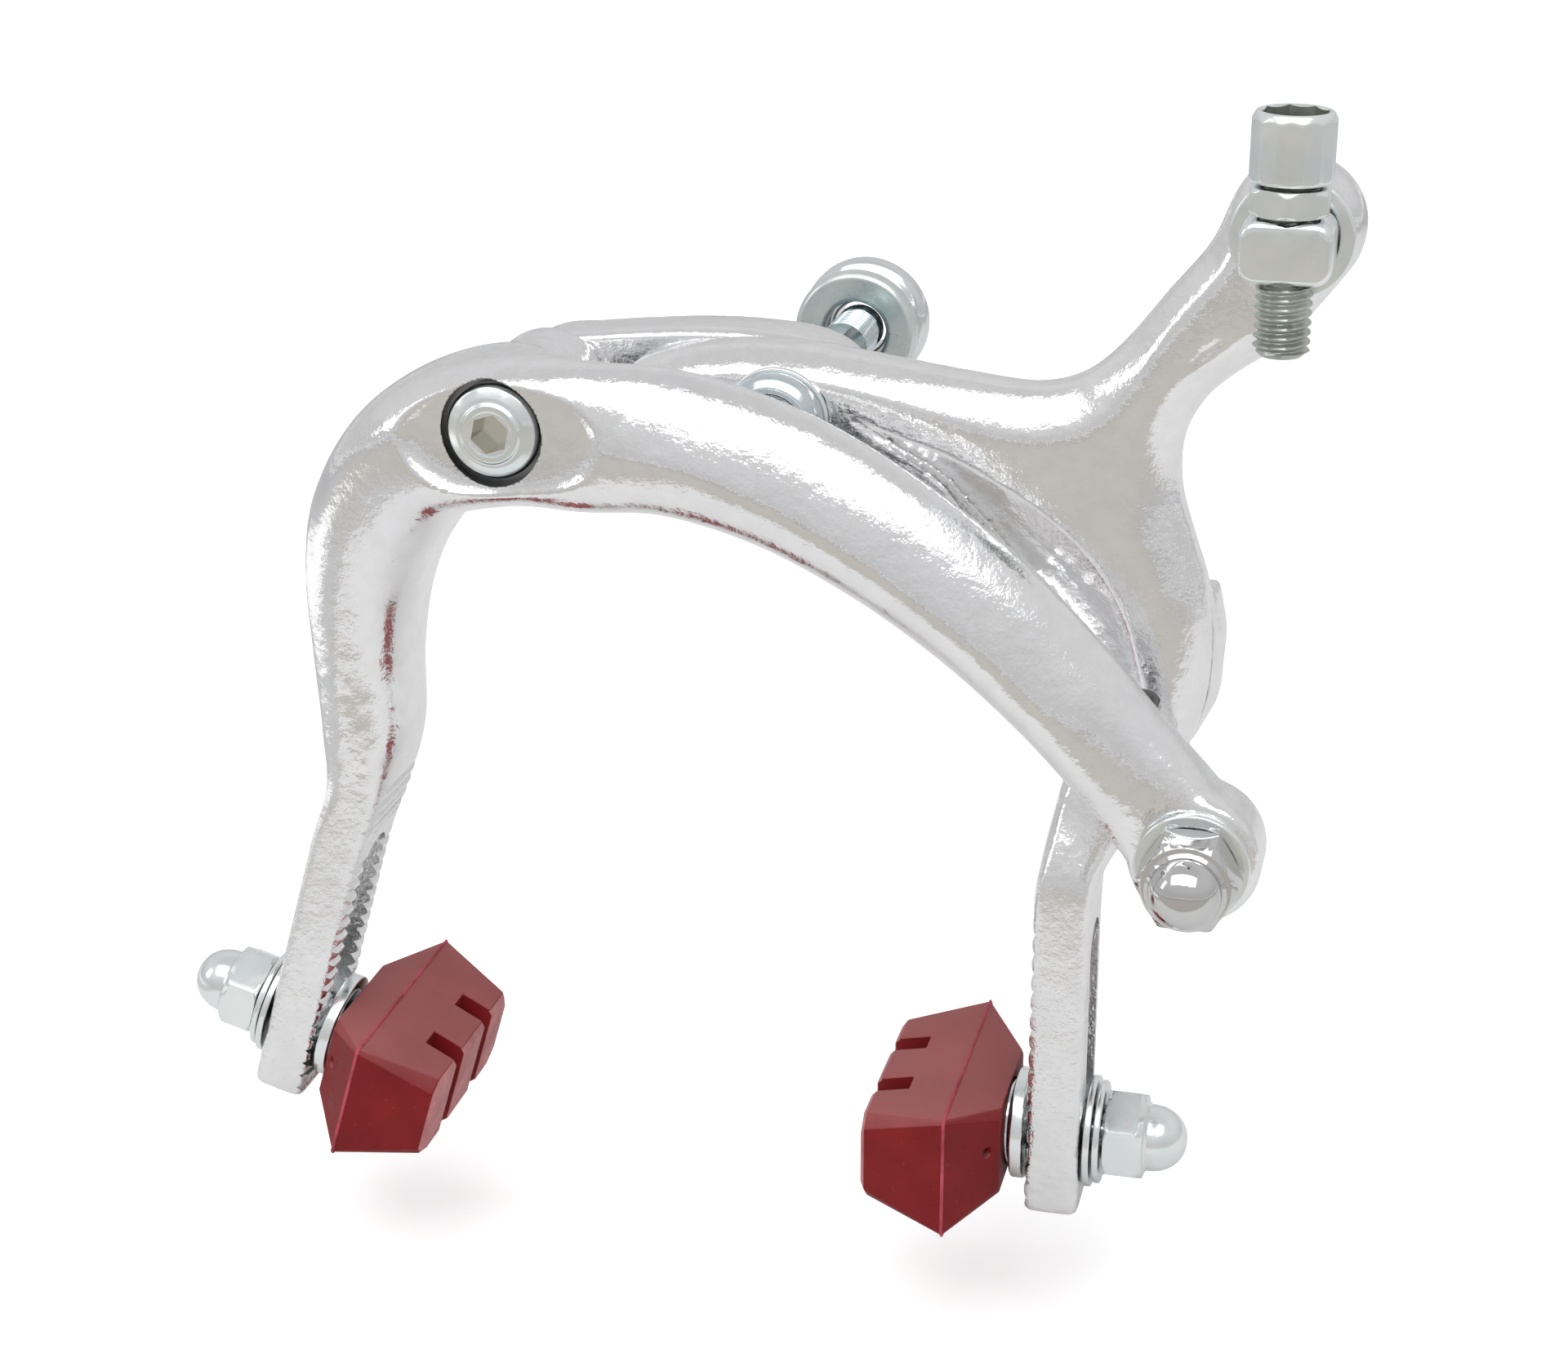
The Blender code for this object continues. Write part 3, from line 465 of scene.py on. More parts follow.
def zinc_plate(name, tint=(0.90, 0.92, 0.90), deep=(0.78, 0.84, 0.85), rough=0.18):
    m = Nodes(name)
    m.set(Metallic=1.0)
    cloud = m.noise(160.0, 3.0, 0.6, 0.6)
    blush = m.noise(420.0, 2.0, 0.5, 1.2)
    base = m.ramp(cloud, (0.3, deep), (0.7, tint))
    warm = m.ramp(blush, (0.55, 0.0), (0.8, 0.35))
    m.colour(m.mix(warm, base, (0.87, 0.82, 0.78)))
    m.rough(m.ramp(cloud, (0.3, rough * 0.8), (0.8, rough * 1.5)))
    m.bump([(m.noise(900.0, 3.0, 0.6), 0.00002, 0.5), (cloud, 0.00008, 0.25)])
    return m.material


def plain_metal(name, tint, rough, pits=0.00001):
    m = Nodes(name)
    m.set(Metallic=1.0)
    cloud = m.noise(200.0, 3.0, 0.6)
    dark = tuple(0.93 * c for c in tint)
    m.colour(m.ramp(cloud, (0.3, dark), (0.7, tint)))
    m.rough(m.ramp(cloud, (0.3, rough * 0.8), (0.75, rough * 1.3)))
    m.bump([(m.noise(1200.0, 2.0, 0.5), pits, 0.5)])
    return m.material


def red_rubber():
    m = Nodes("red_rubber_look")
    m.set(Specular_IOR_Level=0.16, IOR=1.45)
    cloud = m.noise(130.0, 4.0, 0.6)
    speck = m.noise(1500.0, 3.0, 0.6)
    base = m.ramp(cloud, (0.3, (0.125, 0.005, 0.006)), (0.7, (0.175, 0.008, 0.010)))
    # Faces that point up are mixed towards a paler pink, the more so the further up they point.
    upward = m.z_of(m.add("ShaderNodeNewGeometry").outputs["Normal"])
    up_share = m.ramp(upward, (0.3, 0.0), (0.85, 0.85))
    top_paling = m.math("MULTIPLY", up_share, m.ramp(cloud, (0.2, 0.7), (0.7, 1.0)))
    base = m.mix(top_paling, base, (0.30, 0.10, 0.10))
    flecks = m.ramp(speck, (0.66, 0.0), (0.74, 0.35))
    m.colour(m.mix(flecks, base, (0.30, 0.07, 0.08)))
    m.rough(m.ramp(cloud, (0.3, 0.42), (0.7, 0.6)))
    m.bump([(m.noise(700.0, 4.0, 0.6), 0.00005, 0.5), (cloud, 0.0002, 0.2)])
    return m.material


def bare_rubber(name, deep, light, rough):
    """The paler rubber of a mould line or a worn face."""
    m = Nodes(name)
    m.set(Specular_IOR_Level=0.2)
    cloud = m.noise(260.0, 3.0, 0.6)
    m.colour(m.ramp(cloud, (0.35, deep), (0.7, light)))
    m.rough(m.ramp(cloud, (0.3, rough), (0.7, rough + 0.1)))
    m.bump([(m.noise(900.0, 3.0, 0.6), 0.00004, 0.5)])
    return m.material


def black_plastic():
    m = Nodes("black_plastic_look")
    cloud = m.noise(300.0, 3.0, 0.6)
    m.colour(m.ramp(cloud, (0.3, 0.012), (0.7, 0.022)))
    m.rough(m.ramp(cloud, (0.3, 0.35), (0.7, 0.5)))
    m.bump([(m.noise(1500.0, 3.0, 0.6), 0.00003, 0.4)])
    return m.material


ALUMINIUM = polished_aluminium()
ZINC = zinc_plate("zinc_plate_look")
# A duller, darker zinc for the adjuster's thread, also used as painted shade inside its cup.
ZINC_THREAD_AND_SHADE = zinc_plate("zinc_thread_and_shade_look", (0.62, 0.65, 0.60), (0.43, 0.46, 0.42), 0.34)
ZINC_SOFT = zinc_plate("zinc_soft_look", (0.74, 0.79, 0.76), (0.58, 0.66, 0.65), 0.26)
ZINC_BLUE = zinc_plate("zinc_blue_look", (0.70, 0.76, 0.79), (0.52, 0.59, 0.63), 0.13)
# A darker, warmer metal used as painted shade inside the side pivot bolt's hex socket.
SOCKET_SHADE = plain_metal("socket_painted_shade_look", (0.66, 0.65, 0.58), 0.16)
# A dark grey metal used as painted shade: on the wall of the side pivot's seat bore and on the centring screw down
# in its hole.
PAINTED_SHADE = plain_metal("painted_shade_look", (0.34, 0.34, 0.345), 0.32)
FLASH = bare_rubber("rubber_flash_look", (0.22, 0.020, 0.030), (0.42, 0.065, 0.095), 0.45)
WORN = bare_rubber("worn_rubber_look", (0.30, 0.11, 0.11), (0.42, 0.18, 0.18), 0.6)
CHROME = plain_metal("chrome_plate_look", (0.66, 0.655, 0.65), 0.04, 0.000003)
STEEL = plain_metal("bright_steel_look", (0.78, 0.80, 0.81), 0.14)
BRONZE = plain_metal("bearing_bronze_look", (0.62, 0.43, 0.22), 0.3)
PLASTIC = black_plastic()
RUBBER = red_rubber()
LOOKS = {
    "polished_aluminium": ALUMINIUM,
    "zinc_plate": ZINC,
    "chrome_plate": CHROME,
    "bright_steel": STEEL,
    "bearing_bronze": BRONZE,
    "black_nylon": PLASTIC,
    "red_rubber": RUBBER,
}
for node, slot in SLOTS.items():
    mesh = frame["nodes"][node].data
    mesh.materials.clear()
    mesh.materials.append(LOOKS[slot])


# Arms


def forged_section(half, front, back, front_power, back_power, ridge, crease, count=96):
    """A section of an arm: (across, y). ridge moves the front's crest off the middle. crease
    sharpens it, makes its lower side steeper and moves the widest part towards the back."""
    belt = back + (front - back) * (0.5 - 0.2 * crease)
    full = front_power + (2.35 - front_power) * min(1.0, 2.0 * crease)
    points = []
    for k in range(count):
        turn = 2.0 * math.pi * (k + 0.5) / count
        cosine, sine = math.cos(turn), math.sin(turn)
        power = back_power if sine > 0 else (full if cosine > 0 and crease > 0 else front_power)
        across = math.copysign(abs(cosine) ** (2.0 / power), cosine)
        deep = abs(sine) ** (2.0 / power)
        if sine > 0:
            points.append((half * across, belt + (back - belt) * deep))
            continue
        deep -= (0.2 if across > 0 else 0.3) * crease * abs(across) * (1.0 - abs(across))
        points.append((half * across + ridge * (1.0 - abs(across)), belt + (front - belt) * deep))
    return points


def swept(stations, steps=10):
    """A skin over sections set square to a path in the XZ plane.

    A station is (x, z, half width, front y, back y, front power, back power, ridge, crease).
    """
    path = smooth_path(stations, steps)
    rings = []
    for k, station in enumerate(path):
        before = path[max(k - 2, 0)]
        after = path[min(k + 2, len(path) - 1)]
        direction = Vector((after[0] - before[0], after[1] - before[1])).normalized()
        side = Vector((direction.y, -direction.x))
        section = forged_section(*station[2:])
        rings.append([(station[0] + a * side.x, y, station[1] + a * side.y) for a, y in section])
    return lofted(rings)


def leg_stations(stud, up, top):
    stations = []
    for height, shrink in ((-8.7, 1.6), (-8.1, 0.5), (-6.8, 0.0), (12.0, 0.0), (top, 0.0)):
        edges = (LEG_HALF - 0.5 * shrink, LEG_FRONT + shrink, LEG_BACK - shrink)
        place = (stud.x + up.x * height, stud.z + up.z * height)
        stations.append((*place, *edges, 12.0, 10.0, 0.0, 0.0))
    return stations


def leg_slot(stud, lean):
    """The round-ended slot through a leg."""
    top, foot = 24.7, -1.1
    outline = arc((top, 0.0), BOLT_BORE, -90, 90, 24) + arc((foot, 0.0), BOLT_BORE, 90, 270, 24)
    mesh = prism(outline, -9.0, 9.0)
    mesh.transform(Matrix.Rotation(math.radians(-90.0), 4, "Y"))
    mesh.transform(Matrix.Translation(stud) @ Matrix.Rotation(lean, 4, "Y"))
    return mesh


def serrations(stud, lean, inward, low, high, pitch):
    """Rounded ridges across the inner face of a leg, which keep the pad washer from slipping."""
    cutters = []
    for k in range(int((high - low) / pitch)):
        height = low + pitch * k
        face = inward * (LEG_HALF + 0.15 * max(0.0, height - 29.0))
        clear = face + inward * 0.6
        outline = [(clear, height + 0.5 * pitch), (clear, height - 0.5 * pitch)]
        for step in range(-6, 7):
            share = step / 6.0
            deep = 0.9 * (1.0 - abs(share)) ** 1.7
            outline.append((face - inward * deep, height + 0.5 * pitch * share))
        mesh = prism(outline, 0.0, 20.0)
        mesh.transform(Matrix.Rotation(math.radians(90.0), 4, "X"))
        mesh.transform(Matrix.Translation((stud.x, -6.0, stud.z)) @ Matrix.Rotation(lean, 4, "Y"))
        cutters.append(mesh)
    return cutters


def elbow_dish():
    """The cutter for the shallow eye-shaped scoop round the left pivot, deeper to the left."""
    upper = [(-11.6, 0.4), (-6.4, 5.9), (2.0, 8.0), (8.6, 7.0), (13.5, 3.7)]
    lower = [(14.5, 0.2), (12.8, -4.1), (7.6, -7.0), (0.6, -8.0), (-6.2, -7.4), (-10.6, -4.2)]
    outline = smooth_ring(upper + lower, 10)
    rings = []
    for k in range(14):
        grow = 0.08 + 0.078 * min(k, 12)
        rise = 0.7 * grow**2 + 26.0 * max(0.0, grow - 0.74) ** 2 + (7.0 if k == 13 else 0.0)
        ring = [(grow * u, grow * v) for u, v in outline]
        rings.append([(PIVOT.x + u, -29.9 - 0.11 * u - rise, PIVOT.z + v) for u, v in ring])
    return lofted(rings)


def front_arm():
    """The C arm: one sweep from the left leg's foot over the elbow to the cable anchor's eye."""
    stations = leg_stations(LEFT_STUD, LEFT_UP, 27.0)
    stations += [
        (-52.3, -50.6, 3.8, BEAM_BACK, -9.1, 4.5, 6.0, 0.0, 0.0),
        (-51.2, -42.5, 5.3, -23.2, -9.0, 2.7, 4.5, -0.8, 0.1),
        (-51.3, -32.8, 5.9, -24.0, -8.8, 2.3, 4.0, -0.6, 0.2),
        (-50.4, -22.8, 6.9, -25.4, -8.6, 2.4, 4.0, 0.0, 0.1),
        (-47.3, -13.9, 7.8, -27.4, -8.4, 2.9, 3.4, 0.0, 0.0),
        (-40.8, -5.6, 8.3, -30.2, -8.2, 2.9, 2.8, 0.0, 0.0),
        (-30.9, -1.7, 8.6, -32.2, -12.0, 2.9, 4.0, 0.0, 0.0),
        (-20.5, -0.9, 8.5, -32.9, BEAM_BACK, 2.1, 3.2, 0.3, 0.5),
        (-9.4, -1.0, 8.2, -33.4, BEAM_BACK, 1.8, 2.3, 0.8, 1.0),
        (3.1, -4.2, 7.9, -33.5, BEAM_BACK, 1.75, 2.2, 1.5, 1.0),
        (15.0, -10.2, 7.5, -33.5, BEAM_BACK, 1.75, 2.2, 1.8, 1.0),
        (25.4, -17.4, 7.2, -33.3, BEAM_BACK, 1.7, 2.2, 1.9, 1.0),
        (34.2, -25.4, 6.7, -32.9, BEAM_BACK, 1.7, 2.4, 2.0, 0.8),
        (41.2, -33.0, 6.4, -32.2, BEAM_BACK, 2.1, 3.4, 2.0, 0.4),
        (46.4, -39.0, 6.6, -31.6, BEAM_BACK, 3.2, 5.0, 0.8, 0.1),
        (49.8, -42.7, 6.2, -31.3, BEAM_BACK, 4.2, 5.0, 0.0, 0.0),
    ]
    boss = softened([(0, -7.9), (6.85, -7.9), (6.85, -26.0), (0, -26.0)], 0.4)
    boss = along_y(turned(boss), PIVOT.x, PIVOT.z)
    eye = softened([(0, -31.4), (7.4, -31.4), (7.4, BEAM_BACK), (0, BEAM_BACK)], 0.9)
    eye = along_y(turned(eye), ANCHOR.x, ANCHOR.z)
    lug = [(-56.6, -29.0), (-53.6, -29.0), (-53.6, -21.0), (-56.2, -21.0)]
    lug = along_y(prism(lug, -13.0, -4.2))
    skin = fused([swept(stations), boss, eye, lug], 0.42, 7)
    skin = fused([cut(skin, [elbow_dish()])], 0.32, 2)
    hole = bore(BOLT_BORE, -40.0, -10.0, ANCHOR.x, ANCHOR.z)
    skin = cut(skin, [hole, leg_slot(LEFT_STUD, LEFT_LEAN)])
    skin = cut(skin, [bore(6.1, -40.0, -27.5, PIVOT.x, PIVOT.z)])
    skin = cut(skin, [bore(BUSH_BORE, -40.0, 5.0, PIVOT.x, PIVOT.z)])
    skin = cut(skin, serrations(LEFT_STUD, LEFT_LEAN, 1.0, -7.0, 39.0, 1.9))
    forging = piece("front_arm_forging", skin, ALUMINIUM, "front_arm", "front_arm")
    # The wall of the seat round the side pivot's head gets painted shade.
    paint(forging, PAINTED_SHADE, lambda centre: from_pivot(centre) < 6.15 and centre.y > -32.0)


def rear_outline(steps):
    top = [(-19.0, 2.6), (-15.7, 5.2), (-7.2, 7.0), (1.3, 7.2), (7.3, 6.6), (13.8, 5.7)]
    crotch = [(20.8, 4.8), (28.3, 4.2), (33.6, 5.8), (37.8, 9.6), (42.4, 15.6), (46.6, 21.0)]
    eye = arc((STOP.x, STOP.z), 7.4, 160.0, -35.0, 13)
    right = [(57.8, 14.0), (54.4, 10.2), (50.8, 7.6), (47.2, 4.2), (44.9, -0.8), (44.9, -6.6)]
    side = [(46.7, -12.6), (48.5, -18.0), (49.3, -25.0), (48.8, -32.0), (46.6, -38.6)]
    foot = [(42.8, -43.8), (38.6, -45.3), (35.4, -42.3), (35.2, -35.0), (32.2, -26.0)]
    under = [(27.2, -18.6), (19.8, -13.0), (9.8, -9.8), (-0.2, -8.8), (-8.2, -6.4), (-15.7, -2.6)]
    return smooth_ring(top + crotch + eye + right + side + foot + under, steps)


def inset(outline, distance, share=None):
    """The closed outline moved inwards by a distance, times share(x, z) where it is given."""
    count = len(outline)
    area = sum(outline[k - 1][0] * z - x * outline[k - 1][1] for k, (x, z) in enumerate(outline))
    sign = 1.0 if area > 0 else -1.0
    made = []
    for k, (x, z) in enumerate(outline):
        before, after = Vector(outline[k - 1]), Vector(outline[(k + 1) % count])
        direction = (after - before).normalized()
        reach = sign * distance * (share(x, z) if share else 1.0)
        made.append((x - direction.y * reach, z + direction.x * reach))
    return made


def rounded_plate(outline, front, back, front_round, back_round, steps, share=None, power=2.0):
    """A plate along Y with rounded rims, each (inwards, depth).

    share varies the front rim along the outline, and a power under 2 makes it more of a chamfer.
    """
    rings = []
    for k in range(steps + 1):
        turn = 0.5 * math.pi * k / steps
        ring = inset(outline, front_round[0] * (1.0 - math.sin(turn) ** (2.0 / power)), share)
        deep = front + front_round[1] * (1.0 - math.cos(turn) ** (2.0 / power))
        rings.append([(x, deep, z) for x, z in ring])
    for k in range(steps + 1):
        turn = 0.5 * math.pi * k / steps
        ring = inset(outline, back_round[0] * (1.0 - math.cos(turn)))
        rings.append([(x, back - back_round[1] * (1.0 - math.sin(turn)), z) for x, z in ring])
    return lofted(rings)


def rim_share(x, z):
    """How wide the rear arm's front rim is rounded: wide on its right flank and in the crotch."""
    flank = math.exp(-(((x - 47.0) / 7.0) ** 2 + ((z + 12.0) / 16.0) ** 2))
    crotch = math.exp(-(((x - 30.0) / 11.0) ** 2 + ((z - 5.0) / 5.0) ** 2))
    tip = math.exp(-(((x + 17.0) / 7.0) ** 2))
    eye = math.exp(-(((x - STOP.x) ** 2 + (z - STOP.z) ** 2) / 81.0))
    left = 1.0 / (1.0 + math.exp((x - 16.0) / 4.0)) * (1.0 - tip)
    neck = math.exp(-(((x - 43.0) / 9.0) ** 2 + ((z - 14.0) / 9.0) ** 2))
    wide = 0.25 * flank + 0.25 * crotch
    return 1.0 + wide - 0.45 * tip - 0.6 * eye - 0.3 * neck * (1.0 - eye) - 0.3 * left


def rear_scoop():
    """The cutter for the slope behind the beam, along rows of (x, z, width)."""
    upper = [(8.6, 0.6, 0.6), (13.0, -1.1, 1.5), (19.7, -3.3, 3.2), (25.0, -5.9, 5.6), (29.4, -8.4, 7.6)]
    lower = [(33.9, -11.9, 8.4), (37.6, -16.2, 7.6), (40.3, -21.2, 6.2), (42.2, -27.6, 4.2)]
    path = smooth_path(upper + lower + [(43.6, -33.0, 2.0), (44.2, -35.6, 0.6)], 8)
    rings = []
    for k, (x, z, wide) in enumerate(path):
        before, after = path[max(k - 1, 0)], path[min(k + 1, len(path) - 1)]
        direction = Vector((after[0] - before[0], after[1] - before[1])).normalized()
        low = (x + direction.y * wide, z - direction.x * wide)
        high = (x - direction.y * 1.2, z + direction.x * 1.2)
        rings.append([
            (high[0], -19.5, high[1]),
            (high[0], -17.5, high[1]),
            (x, REAR_FRONT, z),
            (0.5 * (x + low[0]), REAR_FRONT + 0.38 * wide, 0.5 * (z + low[1])),
            (low[0], REAR_FRONT + 0.66 * wide, low[1]),
            (low[0], -19.5, low[1]),
        ])
    return lofted(rings)


def rear_arm():
    """The Y arm: a plate, the right leg and two forging marks under the cable stop."""
    rounds = ((4.3, 3.9), (1.0, 1.2), 10)
    plate = rounded_plate(rear_outline(5), REAR_FRONT, REAR_BACK, *rounds, share=rim_share, power=1.35)
    stations = leg_stations(RIGHT_STUD, RIGHT_UP, 30.0)
    x = RIGHT_STUD.x
    stations += [
        (x + 0.6, -50.8, 3.65, -21.8, -9.1, 4.5, 6.0, 0.0, 0.0),
        (x + 2.8, -44.6, 4.8, -18.6, -8.2, 4.0, 6.0, 0.0, 0.0),
        (x + 5.6, -38.0, 6.3, -16.9, -8.3, 4.0, 6.0, 0.0, 0.0),
        (x + 6.4, -30.0, 6.6, -16.6, -8.5, 4.0, 6.0, 0.0, 0.0),
    ]
    lug = [(44.2, -19.6), (49.2, -19.2), (50.4, -24.8), (50.0, -32.4), (47.4, -37.8), (44.2, -35.0)]
    lug = along_y(prism(lug, -9.7, -4.2))
    skin = fused([plate, swept(stations), lug], 0.42, 8)
    marks = []
    for x, z, length, wide in ((47.3, 10.2, 5.2, 1.1), (42.9, 13.4, 2.3, 0.7)):
        mark = turned(arc((0.0, 0.0), 1.0, -90.0, 90.0, 7), 48)
        mark.transform(Matrix.Diagonal((wide, 1.4, length, 1.0)))
        mark.transform(Matrix.Rotation(math.radians(47.0), 4, "Y"))
        mark.transform(Matrix.Translation((x, -17.9, z)))
        marks.append(mark)
    skin = fused([cut(skin, [rear_scoop()] + marks)], 0.34, 2)
    screw = middle("centring_screw")
    holes = [bore(BUSH_BORE, -40.0, 5.0), bore(BOLT_BORE, -40.0, 5.0, STOP.x, STOP.z)]
    holes += [bore(1.8, -40.0, 5.0, screw.x, screw.z), leg_slot(RIGHT_STUD, 0.0)]
    skin = cut(skin, holes)
    skin = cut(skin, serrations(RIGHT_STUD, 0.0, -1.0, -7.0, 32.0, 2.5))
    piece("rear_arm_forging", skin, ALUMINIUM, "rear_arm", "rear_arm")


def bracket():
    top = [(7.1, 1.6), (5.4, 4.6), (1.2, 6.5), (-5.5, 7.1), (-12.5, 7.0), (-19.5, 6.4), (-25.5, 5.7)]
    end = [(-30.5, 5.0), (-34.4, 2.4), (-35.0, -1.6), (-32.6, -4.8)]
    low = [(-28.0, -6.0), (-14.0, -6.2), (0.0, -6.4), (5.2, -4.4)]
    plate = rounded_plate(smooth_ring(top + end + low, 8), -7.6, 0.0, (1.1, 1.5), (0.9, 0.8), 6)
    bores = [bore(BOLT_BORE, -12.0, 5.0), bore(BOLT_BORE, -12.0, 5.0, PIVOT.x, PIVOT.z)]
    piece("bracket_forging", cut(plate, bores), ALUMINIUM, "mount_group", "rear_bracket")


front_arm()
rear_arm()
bracket()


# Turned pieces


def refined(node, look, body):
    """A CAD node's own shape with its edges rounded."""
    source = frame["nodes"][node].data.copy()
    source.transform(Matrix.Scale(1.0 / MM, 4))
    build = bmesh.new()
    build.from_mesh(source)
    bmesh.ops.remove_doubles(build, verts=build.verts, dist=0.001)
    bmesh.ops.dissolve_limit(build, angle_limit=math.radians(1.0), verts=build.verts, edges=build.edges)
    build.to_mesh(source)
    build.free()
    piece(node + "_shape", bevelled(source, 0.25, 40.0), look, body, node)


def ring(node, look, body, inner, outer, low, high, place, direction, round_by):
    """A washer or sleeve, low and high counted along direction from place."""
    profile = [(inner, 0.5 * (low + high)), (inner, low), (outer, low), (outer, high), (inner, high)]
    mesh = turned(softened(profile, round_by))
    turned_piece(node, along(mesh, place, direction), look, body)


def washer(node, look, body, place, inner, outer, round_by=0.2):
    """A ring along Y, as thick as its CAD node."""
    low, high = span(node, 1)
    ring(node, look, body, inner, outer, low, high, place, BACKWARD, round_by)


def hex_recess(across_flats, low, high, turn=0.0):
    """The cutter for a hexagon socket."""
    outline = arc((0.0, 0.0), across_flats / math.sqrt(3.0), turn, turn + 300.0, 6)
    return prism(outline, low, high)


def centre_bolt():
    front, back = span("centre_bolt", 1)
    seat = -18.4
    head = [(0.0, front + 0.3), (3.4, front + 0.3), (3.7, front), (4.5, front + 0.1), (5.3, front + 0.75)]
    head += [(5.6, front + 1.3), (5.6, seat), (BOLT_R, seat), (BOLT_R, 15.0)]
    profile = softened(head, 0.25) + thread_rows(BOLT_R, 15.2, back - 0.7)
    profile += [(2.5, back - 0.3), (2.1, back), (0.0, back)]
    mesh = cut(turned(profile), [hex_recess(5.0, front - 2.0, front + 2.0)])
    turned_piece("centre_bolt", along(mesh, ORIGIN), ZINC_BLUE, "mount_group")
    washer("front_thrust_washer", ZINC, "mount_group", ORIGIN, WASHER_BORE, 5.9)
    washer("seat_washer", ZINC, "mount_group", ORIGIN, WASHER_BORE, 5.8)


def crown_stack():
    front, back = span("crown_washer", 1)
    profile = [(3.9, back - 1.0), (3.9, front + 0.5), (4.3, front + 0.15), (7.1, front), (7.7, front + 0.6)]
    profile += [(7.7, back - 0.6), (7.1, back), (3.9, back)]
    turned_piece("crown_washer", along_y(turned(softened(profile, 0.35))), ZINC_SOFT, "mount_group")
    front, back = span("crown_nut", 1)
    profile = [(BOLT_BORE, front + 1.0), (BOLT_BORE, front), (6.6, front), (6.6, front + 1.7)]
    profile += [(7.4, front + 2.1), (8.0, front + 2.7), (8.0, back - 1.0), (7.2, back)]
    profile += [(BOLT_BORE, back), (BOLT_BORE, back - 1.0)]
    turned_piece("crown_nut", along_y(turned(softened(profile, 0.35))), STEEL, "mount_group")


def side_pivot():
    front, back = span("side_pivot_bolt", 1)
    seat = -27.8
    head = [(0.0, front + 0.12), (2.45, front + 0.12), (2.7, front), (3.25, front + 0.02)]
    head += [(3.55, front + 0.35), (4.0, front + 0.42), (5.1, front + 0.95), (5.45, front + 1.5)]
    shank = [(5.45, seat), (BOLT_R, seat), (BOLT_R, back - 0.5), (2.5, back), (0.0, back)]
    mesh = turned(softened(head + shank, 0.16))
    mesh = cut(mesh, [hex_recess(4.0, front - 2.0, front + 2.2, 12.0)])
    mesh = along(mesh, Vector((PIVOT.x, 0.0, PIVOT.z)))
    bolt = turned_piece("side_pivot_bolt", mesh, ZINC, "mount_group")
    # The walls and floor of the hex socket get painted shade.
    paint(bolt, SOCKET_SHADE, lambda centre: from_pivot(centre) < 2.4 and centre.y > front + 0.2)


def acorn_nut(node, look, body, place, direction, up, low, hex_high, tip):
    """A domed nut standing on low, counted along direction from place."""
    corner, dome, start, across_flats = 5.74, 4.0, hex_high + 0.7, 10.0
    profile = [(BOLT_BORE, low + 6.0), (BOLT_BORE, low + 2.0), (BOLT_BORE, low), (4.6, low)]
    profile += [(5.15, low + 0.05), (corner, low + 0.5), (corner, hex_high - 0.8), (4.85, hex_high)]
    profile += [(dome + 0.45, hex_high + 0.02), (dome, hex_high + 0.4)]
    profile = softened(profile, 0.15)
    for k in range(24):
        turn = 0.5 * math.pi * k / 24
        profile.append((dome * math.cos(turn) ** 0.92, start + (tip - start) * math.sin(turn)))
    profile += [(0.0, tip), (0.0, low + 6.0)]
    mesh = turned(profile, flats=(across_flats, 6))
    turned_piece(node, along(mesh, place, direction, up), look, body)


def anchor():
    front, back = span("anchor_bolt", 1)
    seat = -22.4
    shank = [(0.0, back), (4.3, back), (4.8, back - 0.4), (4.8, seat), (BOLT_R, seat), (BOLT_R, -30.0)]
    profile = softened(shank, 0.2) + thread_rows(BOLT_R, -30.2, front + 0.5) + [(2.3, front), (0.0, front)]
    place = Vector((ANCHOR.x, 0.0, ANCHOR.z))
    mesh = along(turned(profile), place)
    turned_piece("anchor_bolt", mesh, STEEL, "cable_anchor")
    washer("anchor_washer", ZINC, "cable_anchor", place, WASHER_BORE, 6.4, 0.3)
    tip, base = span("anchor_nut", 1)
    acorn_nut("anchor_nut", CHROME, "cable_anchor", place, FORWARD, SKYWARD, -base, 5.0 - base, -tip)


def cable_stop():
    place = Vector((STOP.x, 0.0, STOP.z))
    low, high = span("stop_swivel", 2)
    half, tall, corner = 4.85, 0.5 * (high - low), 1.9
    outline = []
    for k, (u, v) in enumerate(((1, 1), (-1, 1), (-1, -1), (1, -1))):
        centre = (STOP.x + u * (half - corner), 0.5 * (high + low) + v * (tall - corner))
        outline += arc(centre, corner, 90.0 * k, 90.0 * (k + 1), 9)
    block = rounded_plate(outline, -28.2, -20.4, (0.9, 0.9), (0.5, 0.5), 6)
    stud = [(0.0, -21.5), (BOLT_R, -21.5), (BOLT_R, -6.1), (2.6, -5.6), (0.0, -5.6)]
    stud = along(turned(stud), place)
    hole = turned([(0.0, 0.0), (BOLT_BORE, 0.0), (BOLT_BORE, 60.0), (0.0, 60.0)])
    hole = along(hole, Vector((BARREL.x, BARREL.y, 0.0)), SKYWARD, BACKWARD)
    mesh = cut(cut(block, [stud], "UNION"), [hole])
    piece("stop_swivel_forging", mesh, ZINC, "cable_stop", "stop_swivel")
    washer("stop_black_washer", PLASTIC, "cable_stop", place, WASHER_BORE, 5.0, 0.15)
    washer("stop_flange_washer", ZINC, "cable_stop", place, WASHER_BORE, 6.6, 0.35)
    washer("stop_retaining_ring", STEEL, "cable_stop", place, BOLT_BORE, 5.2)


